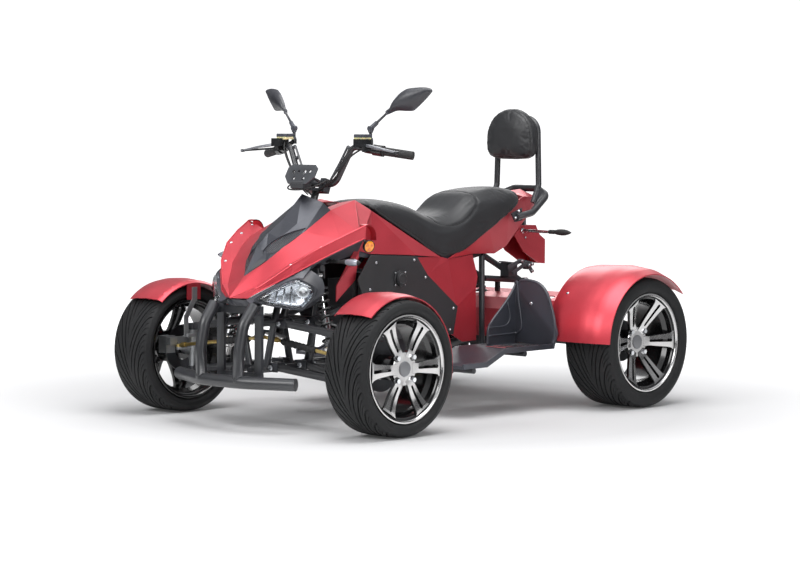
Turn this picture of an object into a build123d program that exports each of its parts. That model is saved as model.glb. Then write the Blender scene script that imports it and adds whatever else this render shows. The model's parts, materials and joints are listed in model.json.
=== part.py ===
from build123d import *
import math
import os

# Driving sizes, in millimetres. X is forward, Y is to the rider's left, Z is up.
# Places are drawn from the middle of the wheelbase on the ground.
wheelbase = 1370
drawn_wheelbase = 1370
front_tyre_r = 246
front_tyre_w = 200
rear_tyre_r = 258
rear_tyre_w = 240
front_wheel_y = 567.5
rear_wheel_y = 574.5
king_y = 470
bumper_front = 321

# Rims, for a fourteen inch tyre
lip_r = 194
seat_r = 178
well_r = 165
barrel_wall = 6
front_rim_w = 175
rear_rim_w = 211
flange_w = 8
hub_r = 45
hub_face_r = 60
spoke_count = 6
spoke_bar_w = 19
spoke_bar_t = 15
front_dish = 10
rear_dish = 52
spindle_r = 15
disc_r = 90
disc_t = 5

# Fits
pin_gap = 0.05
seat_gap = 0.3
sheet_t = 4

# Steering
steer_top_x = 480
steer_top_z = 885
steer_foot_z = 322
steer_arm = 60
pin_side = 17
column_r = 14
ball_r = 8.4
eye_bore_r = 10
eye_r = 14
eye_h = 12
rod_r = 7
knuckle_pin_r = 6
knuckle_pin_z = 261
ball_drop = 22

# Front suspension
arm_span = 75
upper_pivot_y = 115
upper_pivot_z = 381
lower_pivot_y = 74
lower_pivot_z = 217
upper_ball_z = 332
lower_ball_z = 168
arm_bar_w = 22
arm_bar_h = 26
boss_r = 20
boss_h = 24
king_pin_r = 8
post_r = 18
bush_r = 17
bush_len = 30
tab_t = 6

# Handlebar
bar_r = 11
grip_r = 16
grip_len = 118

# Seats and rails
rail_r = 13
lower_rail_z = 200
front_rail_y = 43
mid_rail_y = 120
front_top_rail_y = 85
front_top_rail_z = 385
hood_clear = 22

# Mudguards and fenders
mudguard_r = 260
mudguard_in_y = 458
mudguard_out_y = 640
mudguard_from = 48
mudguard_to = 192.6
fender_r = 296
fender_in_y = 400
fender_out_y = 700
fender_from = 2
fender_to = 137
inner_wall_r = 150

stretch = wheelbase / drawn_wheelbase
front_x = wheelbase / 2
rear_x = -wheelbase / 2
front_end_x = front_x + bumper_front
rear_end_x = rear_x - rear_tyre_r
origin_x = (front_end_x + rear_end_x) / 2


def at(x, y, z):
    """A place on the body, drawn for the drawn wheelbase."""
    return Vector(x * stretch, y, z)


def both(shape):
    """The shape and its mirror image on the other side."""
    return [shape, shape.mirror(Plane.XZ)]


def save(name, shape):
    """Writes one sub-part, moved so that the origin is below the box's middle."""
    solids = list(shape) if isinstance(shape, list) else [shape]
    found = [piece for solid in solids for piece in solid.solids()]
    whole = found[0] if len(found) == 1 else Compound(children=found)
    export_step(Pos(-origin_x, 0, 0) * whole, f"parts/{name}.step")


def facet(a, b, c):
    return Face(Wire.make_polygon([a, b, c], close=True))


def rings(sections):
    """A closed solid through polygons of equal count, capped at both ends."""
    faces = []
    for near, far in zip(sections, sections[1:]):
        for i in range(len(near)):
            j = (i + 1) % len(near)
            faces.append(facet(near[i], near[j], far[j]))
            faces.append(facet(near[i], far[j], far[i]))
    for cap in (sections[0], sections[-1]):
        faces += capped(cap)
    return outward(Solid(Shell(faces)))


def capped(outline):
    """Triangles from the middle of an outline to its edges."""
    middle = sum(outline[1:], outline[0]) * (1 / len(outline))
    return [facet(middle, a, b) for a, b in zip(outline, outline[1:] + outline[:1])]


def outward(solid):
    return solid if solid.volume > 0 else Solid(solid.wrapped.Reversed())


def triangles_of(faces):
    return [(face[0], face[k], face[k + 1]) for face in faces for k in range(1, len(face) - 1)]


def inner_places(points, faces, thickness):
    """Each place moved inwards by the sheet's thickness, along the mean of its faces' normals."""
    normals = {name: Vector(0, 0, 0) for name in points}
    for a, b, c in triangles_of(faces):
        normal = (points[b] - points[a]).cross(points[c] - points[a]).normalized()
        for name in (a, b, c):
            normals[name] += normal
    return {name: points[name] - normals[name].normalized() * thickness for name in points}


def skin(points, inner, faces):
    """A closed sheet between outer places and inner places, over the faces given."""
    triangles = triangles_of(faces)
    edges = {edge for a, b, c in triangles for edge in ((a, b), (b, c), (c, a))}
    parts = []
    for a, b, c in triangles:
        parts.append(facet(points[a], points[b], points[c]))
        parts.append(facet(inner[a], inner[c], inner[b]))
    for a, b in sorted(edge for edge in edges if edge[::-1] not in edges):
        first, last = (a, b) if a < b else (b, a)
        parts.append(facet(points[first], inner[first], inner[last]))
        parts.append(facet(points[first], inner[last], points[last]))
    return outward(Solid(Shell(parts)))


def rod(a, b, radius):
    """A round bar from one place to another."""
    return Plane(origin=a, z_dir=b - a) * Cylinder(radius, (b - a).length, align=foot)


def bar(a, b, width, height, up=Vector(0, 0, 1)):
    """A flat bar from one place to another, its height along up as far as it can be."""
    along = (b - a).normalized()
    side = up.cross(along).normalized()
    plane = Plane(origin=a, x_dir=side, z_dir=along)
    return plane * Box(width, height, (b - a).length, align=foot)


def tube(points, radius, bends):
    """A bent round tube."""
    path = FilletPolyline(*points, radius=bends)
    wire = Wire(path.edges())
    return sweep(Plane(origin=wire @ 0, z_dir=wire % 0) * Circle(radius), path=wire)


def plate(outline, y_low, y_high):
    """A flat plate from an outline of X and Z, between two places along Y."""
    face = Face(Wire.make_polygon([at(x, y_low, z) for x, z in outline], close=True))
    return extrude(face, amount=y_high - y_low, dir=(0, 1, 0))


def block(x, y, z):
    """A box from three pairs of low and high."""
    size = [high - low for low, high in (x, y, z)]
    middle = [(high + low) / 2 for low, high in (x, y, z)]
    return Pos(*middle) * Box(*size)


def fused(pieces):
    whole = pieces[0]
    for piece in pieces[1:]:
        whole = whole + piece
    return whole


foot = (Align.CENTER, Align.CENTER, Align.MIN)


# Wheels
def turned(profile, x, y, z):
    """Revolves radius and axial pairs about an axle at x, y, z."""
    face = Face(Wire.make_polygon([Vector(r, a, 0) for r, a in profile], close=True))
    return Pos(x, y, z) * revolve(face, Axis.Y, 360)


def tyre(x, y, radius, width, rim_w):
    bead = rim_w / 2 - flange_w - seat_gap
    half = width / 2
    # radius, distance from the middle
    side = [(seat_r + seat_gap, bead), (lip_r + seat_gap, bead), (lip_r + 12, half - 5),
            ((lip_r + radius) / 2, half), (radius - 14, half - 4), (radius - 4, half - 18),
            (radius, half - 42)]
    profile = side + [(r, -a) for r, a in reversed(side)]
    return turned(profile, x, y, radius)


def barrel(x, y, z, rim_w):
    edge = rim_w / 2
    step = edge - flange_w
    # radius, distance from the middle, on the tyre's side and then inside
    outside = [(lip_r, edge), (lip_r, edge - 5), (seat_r, step), (seat_r, step - 28),
               (well_r, step - 42)]
    inside = [(lip_r - 5, edge), (seat_r - barrel_wall, step - 4), (seat_r - barrel_wall, step - 26),
              (well_r - barrel_wall, step - 40)]
    half = outside + [(r, -a) for r, a in reversed(outside)]
    back = [(r, -a) for r, a in inside] + [(r, a) for r, a in reversed(inside)]
    return turned(half + back, x, y, z)


def spoke_bar(side, rim_w, dish):
    """One of a spoke's two bars, along Z from the hub to the barrel, bent with the dish."""
    lip = rim_w / 2
    # radius, share of the dish, offset of the bar's middle
    table = [(hub_r - 3, 1.0, 10.5), (75, 0.82, 13.5), (115, 0.42, 16.5), (seat_r - 4, 0.06, 21)]
    sections = []
    for radius, share, offset in table:
        face = lip - 3 - dish * share
        low = side * offset - spoke_bar_w / 2
        high = side * offset + spoke_bar_w / 2
        corners = [(low, face), (high, face), (high, face - spoke_bar_t), (low, face - spoke_bar_t)]
        sections.append([Vector(a, b, radius) for a, b in corners])
    return rings(sections)


def rim(x, y, z, rim_w, dish, hub_back, with_disc):
    """A cast wheel with double spokes, its hub and, in front, the brake disc."""
    face = rim_w / 2 - 3 - dish
    across = (Align.CENTER, Align.CENTER, Align.MIN)
    pieces = [Pos(0, face, 0) * Rot(90, 0, 0) * Cylinder(hub_face_r, spoke_bar_t + 8, align=across),
              Pos(0, face, 0) * Rot(90, 0, 0) * Cylinder(hub_r, face - hub_back, align=across)]
    for i in range(spoke_count):
        for side in (-1, 1):
            pieces.append(Rot(0, 360 / spoke_count * (i + 0.5), 0) * spoke_bar(side, rim_w, dish))
    if with_disc:
        pieces.append(Pos(0, hub_back + disc_t, 0) * Rot(90, 0, 0)
                      * Cylinder(disc_r, disc_t, align=across))
    body = fused([Pos(x, y, z) * piece for piece in pieces] + [barrel(x, y, z, rim_w)])
    depth = face - hub_back - 12
    bore = Rot(90, 0, 0) * Cylinder(spindle_r + pin_gap, depth, align=across)
    return body - Pos(x, y + hub_back + depth, z) * bore


front_hub_back = -42.5
rear_hub_back = -18
front_face = front_rim_w / 2 - 3 - front_dish
rear_face = rear_rim_w / 2 - 3 - rear_dish


def save_wheels():
    front_tyre = tyre(front_x, front_wheel_y, front_tyre_r, front_tyre_w, front_rim_w)
    rear_tyre = tyre(rear_x, rear_wheel_y, rear_tyre_r, rear_tyre_w, rear_rim_w)
    front_rim = rim(front_x, front_wheel_y, front_tyre_r, front_rim_w, front_dish,
                    front_hub_back, True)
    rear_rim = rim(rear_x, rear_wheel_y, rear_tyre_r, rear_rim_w, rear_dish, rear_hub_back, False)
    for name, shape in (("front_tyre", front_tyre), ("front_rim", front_rim),
                        ("rear_tyre", rear_tyre), ("rear_rim", rear_rim)):
        for side, piece in zip(("left", "right"), both(shape)):
            save(f"{name}_{side}", piece)


# Knuckles, with spindle, steering arm, caliper and mudguard bracket
def knuckle():
    king = Vector(front_x, king_y, 0)
    low = lower_ball_z + boss_h / 2 + seat_gap
    high = upper_ball_z - boss_h / 2 - seat_gap
    post = rod(king + Vector(0, 0, low), king + Vector(0, 0, high), post_r)
    pins = rod(king + Vector(0, 0, lower_ball_z - boss_h / 2),
               king + Vector(0, 0, upper_ball_z + boss_h / 2), king_pin_r)
    axle = Vector(front_x, king_y, front_tyre_r)
    spindle_end = front_wheel_y + front_face - 14
    spindle = rod(axle, Vector(front_x, spindle_end, front_tyre_r), spindle_r)
    shoulder = rod(axle, Vector(front_x, front_wheel_y + front_hub_back - 6, front_tyre_r), post_r + 6)
    pin = Vector(front_x + steer_arm, king_y + pin_side, knuckle_pin_z)
    arm_z = knuckle_pin_z - eye_h / 2 - seat_gap - 5
    arm = bar(Vector(front_x, king_y, arm_z), Vector(pin.X, pin.Y, arm_z), 22, 10)
    arm_end = rod(Vector(pin.X, pin.Y, arm_z - 5), Vector(pin.X, pin.Y, arm_z + 5), 11)
    stud = rod(Vector(pin.X, pin.Y, arm_z), Vector(pin.X, pin.Y, knuckle_pin_z + eye_h / 2 + 6),
               knuckle_pin_r)
    parts = [post, pins, spindle, shoulder, arm, arm_end, stud]
    return fused(parts + caliper() + mudguard_bracket())


def caliper():
    """The brake caliper over the disc's front edge and the bar that holds it."""
    disc_y = front_wheel_y + front_hub_back + disc_t / 2
    z = front_tyre_r + 22
    x = front_x + disc_r
    body = block((x - 26, x + 20), (disc_y - 26, disc_y + 18), (z - 36, z + 30))
    slot = block((x - 30, x + 6), (disc_y - 6, disc_y + 6), (z - 60, z + 60))
    piston = block((x - 14, x + 22), (disc_y - 50, disc_y - 26), (z - 4, z + 26))
    holder = bar(Vector(front_x, king_y + 26, z + 12), Vector(x - 20, disc_y - 16, z + 12), 12, 26)
    return [holder, body - slot, piston]


def mudguard_bracket():
    out_x = front_x + 50
    bolt_x = front_x + 7
    y = mudguard_in_y - seat_gap - 2.5
    z = upper_ball_z - boss_h / 2 - 20
    top = front_tyre_r + mudguard_r - 22
    bend = z + 78
    arm = bar(Vector(front_x, king_y - 8, z), Vector(out_x, y, z), 20, 12)
    rise = block((out_x - 10, out_x + 10), (y - 2.5, y + 2.5), (z - 6, bend))
    lean = bar(Vector(out_x, y, bend - 8), Vector(bolt_x, y, top - 44), 20, 5, Vector(0, 1, 0))
    head = block((bolt_x - 12, bolt_x + 12), (y - 2.5, y + 2.5), (top - 56, top))
    return [arm, rise, lean, head]


def mudguard():
    """A front mudguard that steers with its wheel."""
    # distance from the middle of the machine, radius from the axle
    crown = [(mudguard_in_y, mudguard_r - 6), (mudguard_in_y + 16, mudguard_r + 4),
             (front_wheel_y - 22, mudguard_r + 9), (front_wheel_y + 34, mudguard_r + 6),
             (mudguard_out_y, mudguard_r - 2)]
    profile = crown + [(y, r - sheet_t) for y, r in reversed(crown)]
    face = Face(Wire.make_polygon([Vector(r, y, 0) for y, r in profile], close=True))
    face = Rot(0, -mudguard_from, 0) * face
    hoop = revolve(face, Axis.Y, -(mudguard_to - mudguard_from))
    hoop = Pos(front_x, 0, front_tyre_r) * hoop
    tab_top = front_tyre_r + mudguard_r - 8
    bolt_x = front_x + 7
    tab = block((bolt_x - 34, bolt_x + 34), (mudguard_in_y, mudguard_in_y + 4), (tab_top - 62, tab_top))
    return hoop + tab


def save_knuckles():
    for side, piece in zip(("left", "right"), both(knuckle())):
        save(f"knuckle_{side}", piece)
    for side, piece in zip(("left", "right"), both(mudguard())):
        save(f"mudguard_{side}", piece)


# Front suspension arms and shock absorbers
def arm(pivot_y, pivot_z, ball_z):
    """One A-shaped arm: two bushes, two legs and the ball joint's boss."""
    ball = Vector(front_x, king_y, ball_z)
    pieces = [Pos(ball.X, ball.Y, ball_z - boss_h / 2) * Cylinder(boss_r, boss_h, align=foot)]
    for way in (-1, 1):
        pivot = Vector(front_x + way * arm_span, pivot_y, pivot_z)
        half = Vector(bush_len / 2, 0, 0)
        pieces.append(rod(pivot - half, pivot + half, bush_r))
        pieces.append(bar(pivot, ball, arm_bar_w, arm_bar_h))
    whole = fused(pieces)
    bore = Pos(ball.X, ball.Y, ball_z - boss_h) * Cylinder(king_pin_r + pin_gap, boss_h * 2, align=foot)
    clear = Pos(ball.X, ball.Y, 0) * Cylinder(boss_r + 3, ball_z - boss_h / 2, align=foot)
    above = Pos(ball.X, ball.Y, ball_z + boss_h / 2) * Cylinder(boss_r + 3, boss_h, align=foot)
    return whole - bore - clear - above


shock_low = Vector(front_x, 287, 224)
shock_top = Vector(front_x, 210, 560)
shock_eye_r = 12


def coil_over(low, top, radius, coils, share):
    """A damper in its spring, drawn as ribs, with an eye at each end."""
    along = (top - low).normalized()
    length = (top - low).length
    eye = Vector(12, 0, 0)
    pieces = [rod(low - eye, low + eye, shock_eye_r), rod(top - eye, top + eye, shock_eye_r),
              rod(low, top, radius * 0.45)]
    spring_from = low + along * length * (1 - share) * 0.6
    spring_len = length * share
    pieces.append(rod(spring_from, spring_from + along * spring_len, radius * 0.62))
    for i in range(coils):
        start = spring_from + along * (spring_len * i / (coils - 1) - 4)
        pieces.append(rod(start, start + along * 8, radius))
    return fused(pieces)


def save_suspension():
    upper = arm(upper_pivot_y, upper_pivot_z, upper_ball_z)
    save("upper_arms", both(upper))
    lower = arm(lower_pivot_y, lower_pivot_z, lower_ball_z)
    reach = (shock_low.Y - lower_pivot_y) / (king_y - lower_pivot_y)
    seat_z = lower_pivot_z + (lower_ball_z - lower_pivot_z) * reach
    cross = arm_span * (1 - reach)
    tabs = [block((front_x - cross, front_x + cross), (shock_low.Y - 12, shock_low.Y + 12),
                  (seat_z - 12, seat_z + 4))]
    for way in (-1, 1):
        face = shock_low.X + way * (12 + seat_gap)
        low_x, high_x = sorted((face, face + way * tab_t))
        tabs.append(block((low_x, high_x), (shock_low.Y - 12, shock_low.Y + 12),
                          (seat_z - 8, shock_low.Z + 12)))
    save("lower_arms", both(fused([lower] + tabs)))
    save("front_shocks", both(coil_over(shock_low, shock_top, 27, 8, 0.62)))


# Steering
steer_top = Vector(steer_top_x * stretch, 0, steer_top_z)
steer_foot = Vector(front_x, 0, steer_foot_z)
steer_down = (steer_foot - steer_top).normalized()
steer_ahead = Vector(-steer_down.Z, 0, steer_down.X)


def pitman_pin(side):
    return steer_foot + steer_ahead * steer_arm + Vector(0, side * pin_side, 0)


def ball_place(side):
    return pitman_pin(side) + steer_down * ball_drop


def steering_column():
    top = steer_top - steer_down * 4 + steer_down * 34
    shaft = rod(top, steer_foot + steer_down * 5, column_r)
    plane = Plane(origin=steer_foot - steer_down * 5, x_dir=steer_ahead, z_dir=steer_down)
    lever = plane * Pos(steer_arm / 2, 0, 0) * Box(steer_arm + 24, 2 * pin_side + 24, 10, align=foot)
    yoke = plane_at(steer_top + steer_down * 26) * Box(34, 108, 12)
    studs = []
    for side in (-1, 1):
        pin = pitman_pin(side)
        ball = ball_place(side)
        studs.append(rod(pin, ball, 5))
        studs.append(Pos(*ball) * Sphere(ball_r))
    for side in (-1, 1):
        foot_at = steer_top + Vector(0, side * 40, 0)
        riser = plane_at(foot_at + steer_down * 4) * Box(36, 26, 46)
        bore = rod(foot_at - Vector(0, 20, 0), foot_at + Vector(0, 20, 0), bar_r + pin_gap)
        studs.append(riser - bore)
    return fused([shaft, lever, yoke] + studs)


def plane_at(place):
    return Plane(origin=place, x_dir=steer_ahead, z_dir=steer_down)


# Handlebar bends: X, Y, Z for the left side, from the clamp to the bar's end
bar_bends = [(480, 92, 887), (463, 165, 1028), (371, 384, 996)]
bar_radii = [48, 30]


def handlebar(radius):
    left = [at(*place) for place in bar_bends]
    left[0] = Vector(steer_top.X, bar_bends[0][1], steer_top.Z)
    right = [Vector(p.X, -p.Y, p.Z) for p in reversed(left)]
    radii = list(reversed(bar_radii)) + bar_radii
    return tube(right + left, radius, radii)


def bar_point(distance):
    """A place on the left hand grip's stretch, that far in from its end, and its direction."""
    end = at(*bar_bends[-1])
    inner = at(*bar_bends[-2])
    along = (inner - end).normalized()
    return end + along * distance, along


def grip():
    end, along = bar_point(0)
    outer = end - along * 3
    inner = end + along * grip_len
    sleeve = rod(outer, inner, grip_r)
    flange = rod(inner - along * 5, inner, grip_r + 5)
    bore = rod(end - along * pin_gap, inner + along * 5, bar_r + pin_gap)
    return sleeve + flange - bore


lever_tip = at(482, 410, 1007)
mirror_joint = at(406, 203, 1095)
mirror_neck = at(385, 274, 1158)
mirror_tip = at(329, 441, 1235)


def controls():
    """Brake lever with its perch and reservoir, and the switch box beside the grip."""
    start, along = bar_point(grip_len + 3)
    switch_end = start + along * 34
    perch_start = switch_end + along * 4
    perch_end = perch_start + along * 28
    ahead = Vector(1, 0, 0)
    pivot = perch_start + ahead * 34 + along * 6
    pieces = [rod(start, switch_end, 21), rod(switch_end, perch_start, 15),
              rod(perch_start, perch_end, 17),
              bar(perch_start + along * 14, pivot, 26, 16),
              rod(pivot - Vector(0, 0, 10), pivot + Vector(0, 0, 10), 11),
              bar(pivot, lever_tip, 14, 7),
              rod(lever_tip - Vector(0, 0, 5), lever_tip + Vector(0, 0, 5), 8)]
    tank_low = perch_start + ahead * 26 + along * 22
    pieces.append(Pos(*(tank_low + Vector(0, 0, 6))) * Box(46, 50, 30, align=foot))
    stem = perch_start + along * 10
    boss_top = Vector(mirror_joint.X, mirror_joint.Y, mirror_joint.Z - 42)
    pieces.append(bar(stem, boss_top - Vector(0, 0, 8), 18, 16))
    pieces.append(rod(boss_top - Vector(0, 0, 18), boss_top, 10))
    return fused(pieces) - handlebar(bar_r + pin_gap)


def mirror():
    """Stem, joint, arm and the pointed oval head."""
    base = mirror_joint - Vector(0, 0, 42 - seat_gap)
    stem = rod(base, mirror_joint, 6)
    joint = rod(mirror_joint - Vector(0, 0, 14), mirror_joint + Vector(0, 0, 12), 9)
    stalk = rod(mirror_joint, mirror_neck, 6)
    along = (mirror_tip - mirror_neck).normalized()
    face = Vector(-1, -0.2, 0.1)
    face = (face - along * face.dot(along)).normalized()
    height = along.cross(face)
    length = (mirror_tip - mirror_neck).length
    # share of the length, half height above, below, depth of the back
    table = [(-0.06, 9, 9, 10), (0.12, 22, 26, 17), (0.35, 36, 38, 22), (0.62, 40, 34, 20),
             (0.86, 28, 20, 13), (1.0, 10, 6, 5)]
    sections = []
    for share, high, low, depth in table:
        middle = mirror_neck + along * length * share
        sections.append([middle + height * high + face * 5, middle + height * high * 0.45 - face * depth,
                         middle - height * low * 0.45 - face * depth, middle - height * low + face * 5])
    return fused([stem, joint, stalk, rings(sections)])


def dash_bracket():
    """The perforated plate ahead of the clamps and its two straps."""
    middle = at(566, 0, 926)
    plane = Plane(origin=middle, x_dir=(0, 1, 0), z_dir=Vector(0.86, 0, 0.5))
    outline = [(-78, -16), (-48, -46), (48, -46), (78, -16), (78, 22), (60, 36), (-60, 36), (-78, 22)]
    sheet = plane * extrude(make_face(Polyline(*outline, close=True).edges()), amount=4)
    holes = [plane * Pos(x, y, -2) * Cylinder(radius, 12, align=foot)
             for x, y, radius in ((-40, 4, 7), (-14, 6, 6), (16, 4, 9), (44, 8, 6), (-26, -22, 6), (22, -24, 7))]
    straps = []
    for side in (-1, 1):
        back = steer_top + Vector(0, side * 40, 0) + steer_ahead * (18 + seat_gap)
        straps.append(bar(back, back + steer_ahead * 79, 20, 5))
    whole = fused([sheet] + straps)
    for hole in holes:
        whole = whole - hole
    return whole


def tie_rod():
    """The left track rod between the pitman's ball and the knuckle's pin."""
    inner = ball_place(1)
    outer = Vector(front_x + steer_arm, king_y + pin_side, knuckle_pin_z)
    along = (outer - inner).normalized()
    up = Vector(0, 0, eye_h / 2)
    shaft = rod(inner + along * (eye_r - 2), outer - along * (eye_r - 4), rod_r)
    nuts = [rod(inner + along * 20, inner + along * 44, rod_r + 3),
            rod(outer - along * 42, outer - along * 20, rod_r + 3)]
    ends = rod(inner - up, inner + up, eye_r) + rod(outer - up, outer + up, eye_r - 2)
    whole = fused([shaft, ends] + nuts)
    whole = whole - rod(inner - up * 2, inner + up * 2, eye_bore_r)
    return whole - rod(outer - up * 2, outer + up * 2, knuckle_pin_r + pin_gap)


def save_steering():
    save("steering_column", steering_column())
    save("handlebar", handlebar(bar_r))
    save("grips", both(grip()))
    save("bar_controls", both(controls()))
    save("mirrors", both(mirror()))
    save("dash_bracket", dash_bracket())
    for side, piece in zip(("left", "right"), both(tie_rod())):
        save(f"tie_rod_{side}", piece)


# Frame


def column_at(z):
    """The place on the steering axis at a height."""
    share = (steer_top.Z - z) / (steer_top.Z - steer_foot.Z)
    return steer_top + (steer_foot - steer_top) * share


def post_ends():
    """X of the front and rear pairs of posts between the front rails."""
    return front_x + arm_span + bush_len, front_x - arm_span - bush_len


def cross_tubes(table, radius):
    """Tubes across the machine; the table has X, Y reach, Z."""
    return [rod(Vector(x, -y, z), Vector(x, y, z), radius) for x, y, z in table]


def lower_rails(grow=0):
    """The pieces of the lower frame; grow widens them where they are used as a cutter."""
    post_front, post_rear = post_ends()
    z = lower_rail_z
    rail = [tube([Vector(carrier_x - 6, front_rail_y, z + 10), Vector(post_rear - 30, front_rail_y, z + 10),
                  at(430, mid_rail_y, z), at(-345, mid_rail_y, z)], rail_r + grow, [60, 60])]
    rail += arm_tabs(lower_pivot_y, lower_pivot_z, front_rail_y, grow)
    rail += footrest_arms() + swing_tabs()
    table = [(post_front, front_rail_y, z + 10)]
    table += [(x * stretch, mid_rail_y, z) for x in (400, 300, 0, -60, -330)]
    return [piece for one in rail for piece in both(one)] + cross_tubes(table, rail_r - 2 + grow)


def upper_rails(grow=0):
    """The pieces of the upper frame; grow widens them where they are used as a cutter."""
    post_front, post_rear = post_ends()
    radius = rail_r + grow
    top = shock_top
    top_z = under_hood_z()
    rail = [
        tube([Vector(carrier_x - 6, front_top_rail_y, front_top_rail_z),
              Vector(post_rear, front_top_rail_y, front_top_rail_z), at(400, 101, 432)], radius, [60]),
        tube([Vector(post_front, front_top_rail_y, front_top_rail_z), at(745, 95, 560), at(560, 75, top_z),
              at(330, 80, top_z), at(-60, 100, 555), at(-330, 95, 600), at(-600, 62, 735),
              at(-690, 50, 770)], radius, [40, 60, 60, 80, 80, 80]),
        rod(at(-352, 95, 596), at(-585, 100, 483), radius - 1),
        rod(at(-362, 100, 500), at(-585, 100, 483), radius - 1),
        rod(at(-60, 60, 555), at(-60, 60, 640), 10),
        rod(at(-520, 60, 690), at(-520, 60, 792), 10),
    ]
    rail += arm_tabs(upper_pivot_y, upper_pivot_z, front_top_rail_y, grow)
    rail += shock_tabs(top) + rear_tabs() + plate_bosses()
    table = [(post_front, front_top_rail_y, front_top_rail_z), (post_rear, front_top_rail_y, front_top_rail_z),
             (-330 * stretch, 95, 600), (-585 * stretch, 100, 483), (-60 * stretch, 100, 555)]
    cross = cross_tubes(table, rail_r - 2 + grow)
    bridge_z = top.Z + shock_eye_r + rail_r + 2
    cross.append(rod(Vector(top.X, -top.Y - 20, bridge_z), Vector(top.X, top.Y + 20, bridge_z), rail_r))
    for side in (-1, 1):
        cross.append(rod(Vector(top.X, side * 86, bridge_z), at(640, side * 84, 640), rail_r - 3))
    return [piece for one in rail for piece in both(one)] + cross


def under_hood_z():
    """Height of the rails that run below the hood."""
    return shell_places["h3"][2] - hood_clear


def frame_posts():
    """The uprights between the lower and the upper frame, cut back from both."""
    post_front, post_rear = post_ends()
    cutters = lower_rails(seat_gap) + upper_rails(seat_gap)
    posts = []
    for x in (post_front, post_rear):
        posts.append(rod(Vector(x, front_rail_y, lower_rail_z + 10),
                         Vector(x, front_top_rail_y, front_top_rail_z), rail_r))
    boss = rod(at(386, 96, 560), at(386, plate_y - sheet_t - seat_gap, 560), 8)
    posts.append(fused([rod(at(400, mid_rail_y, lower_rail_z), at(360, 84, under_hood_z()), rail_r - 1), boss]))
    posts.append(rod(at(-330, mid_rail_y, lower_rail_z), at(-350, 98, 590), rail_r - 1))
    pieces = []
    for post in posts:
        cut = post - cutters
        longest = sorted(cut.solids(), key=lambda solid: solid.volume)[-1]
        pieces += both(longest)
    return pieces


def bearings():
    """Two rings that hold the steering column, and the bars that carry them."""
    pieces = []
    ring_z = under_hood_z() + 22
    for z, reach in ((front_top_rail_z, front_top_rail_y), (ring_z, 78)):
        middle = column_at(z)
        ring = rod(middle - steer_down * 15, middle + steer_down * 15, column_r + 8)
        arms = block((middle.X - 10, middle.X + 10), (-reach, reach), (z - 8, z + 8))
        bore = rod(middle - steer_down * 30, middle + steer_down * 30, column_r + pin_gap)
        pieces.append(ring + arms - bore)
    brace_x = column_at(ring_z).X
    for side in (-1, 1):
        pieces.append(bar(Vector(brace_x, side * 66, ring_z), at(575, side * 66, ring_z - 22), 14, 14))
    return pieces


def arm_tabs(pivot_y, pivot_z, rail_y, grow=0):
    """The pairs of ears that hold one arm's bushes."""
    ears = []
    for way in (-1, 1):
        for end in (-1, 1):
            face = front_x + way * arm_span + end * (bush_len / 2 + seat_gap)
            low_x, high_x = sorted((face, face + end * tab_t))
            ears.append(block((low_x - grow, high_x + grow), (rail_y - 8, pivot_y + bush_r),
                              (pivot_z - bush_r - grow, pivot_z + bush_r + grow)))
    return ears


def shock_tabs(top):
    ears = []
    for end in (-1, 1):
        face = top.X + end * (12 + seat_gap)
        low_x, high_x = sorted((face, face + end * tab_t))
        ears.append(block((low_x, high_x), (top.Y - 14, top.Y + 14), (top.Z - 12, top.Z + 26)))
    return ears


def footrest_arms():
    """Tubes that reach out below the boards."""
    return [rod(at(70, mid_rail_y, low_board_z - board_t - 11 - seat_gap),
                at(70, board_out_y - 20, low_board_z - board_t - 11 - seat_gap), 11),
            rod(at(-230, mid_rail_y, board_z - board_t - 11 - seat_gap),
                at(-230, board_out_y - 20, board_z - board_t - 11 - seat_gap), 11),
            rod(at(-230, mid_rail_y, lower_rail_z), at(-230, mid_rail_y, board_z - board_t - 11), 10)]


def swing_tabs():
    x = -330 * stretch
    return [block((x - 72, x - 8), (mid_rail_y - 4, mid_rail_y + 8), (lower_rail_z - 4, lower_rail_z + 26))]


def rear_tabs():
    """Seats of the plate holder and the rear deck."""
    return [block((-676 * stretch, -660 * stretch), (40, 54), (holder_top + seat_gap, 764)),
            bar(at(-585, 60, 483), at(-632, 60, 470), 16, 12),
            block((-640 * stretch, -624 * stretch), (52, 68), (428 + seat_gap, 476))]


def plate_bosses():
    """Seats of the front indicators, the tail light and the side plates."""
    return [block((front_x - 55, front_x - 35), (76, 97), (600, 640)),
            block((-702 * stretch, -684 * stretch), (30, 60), (757, 785)),
            rod(at(120, 93, 606), at(120, 140, 560), 8),
            rod(at(120, 138, 560), at(120, plate_y - sheet_t - seat_gap, 560), 8)]


# Bumper and carrier
carrier_x = front_x + 195
carrier_y = 100
bumper_r = 21
cross_r = 23
cross_z = 179


def front_bumper():
    middle_x = front_end_x - cross_r
    cross = tube([Vector(middle_x - 85, -309, cross_z), Vector(middle_x, -110, cross_z),
                  Vector(middle_x, 110, cross_z), Vector(middle_x - 85, 309, cross_z)], cross_r, 260)
    hoops = []
    for side in (-1, 1):
        hoops.append(tube([Vector(carrier_x + 30, side * 106, 452), Vector(middle_x - 22, side * 103, 385),
                           Vector(middle_x - 2, side * 102, 290), Vector(middle_x, side * 96, cross_z)],
                          bumper_r, [80, 110]))
    lugs = [block((carrier_x + 6 + seat_gap, carrier_x + 34), (side * 106 - 12, side * 106 + 12), (418, 440))
            for side in (-1, 1)]
    return fused([cross] + hoops + lugs)


def front_carrier():
    """Two flat posts with cross bars, behind the bumper."""
    pieces = []
    for side in (-1, 1):
        pieces.append(block((carrier_x - 6, carrier_x + 6), (side * carrier_y - 18, side * carrier_y + 18),
                            (185, 450)))
    for z in (190, 432):
        pieces.append(block((carrier_x - 6, carrier_x + 6), (-carrier_y, carrier_y), (z - 14, z + 14)))
    return fused(pieces)


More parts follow.
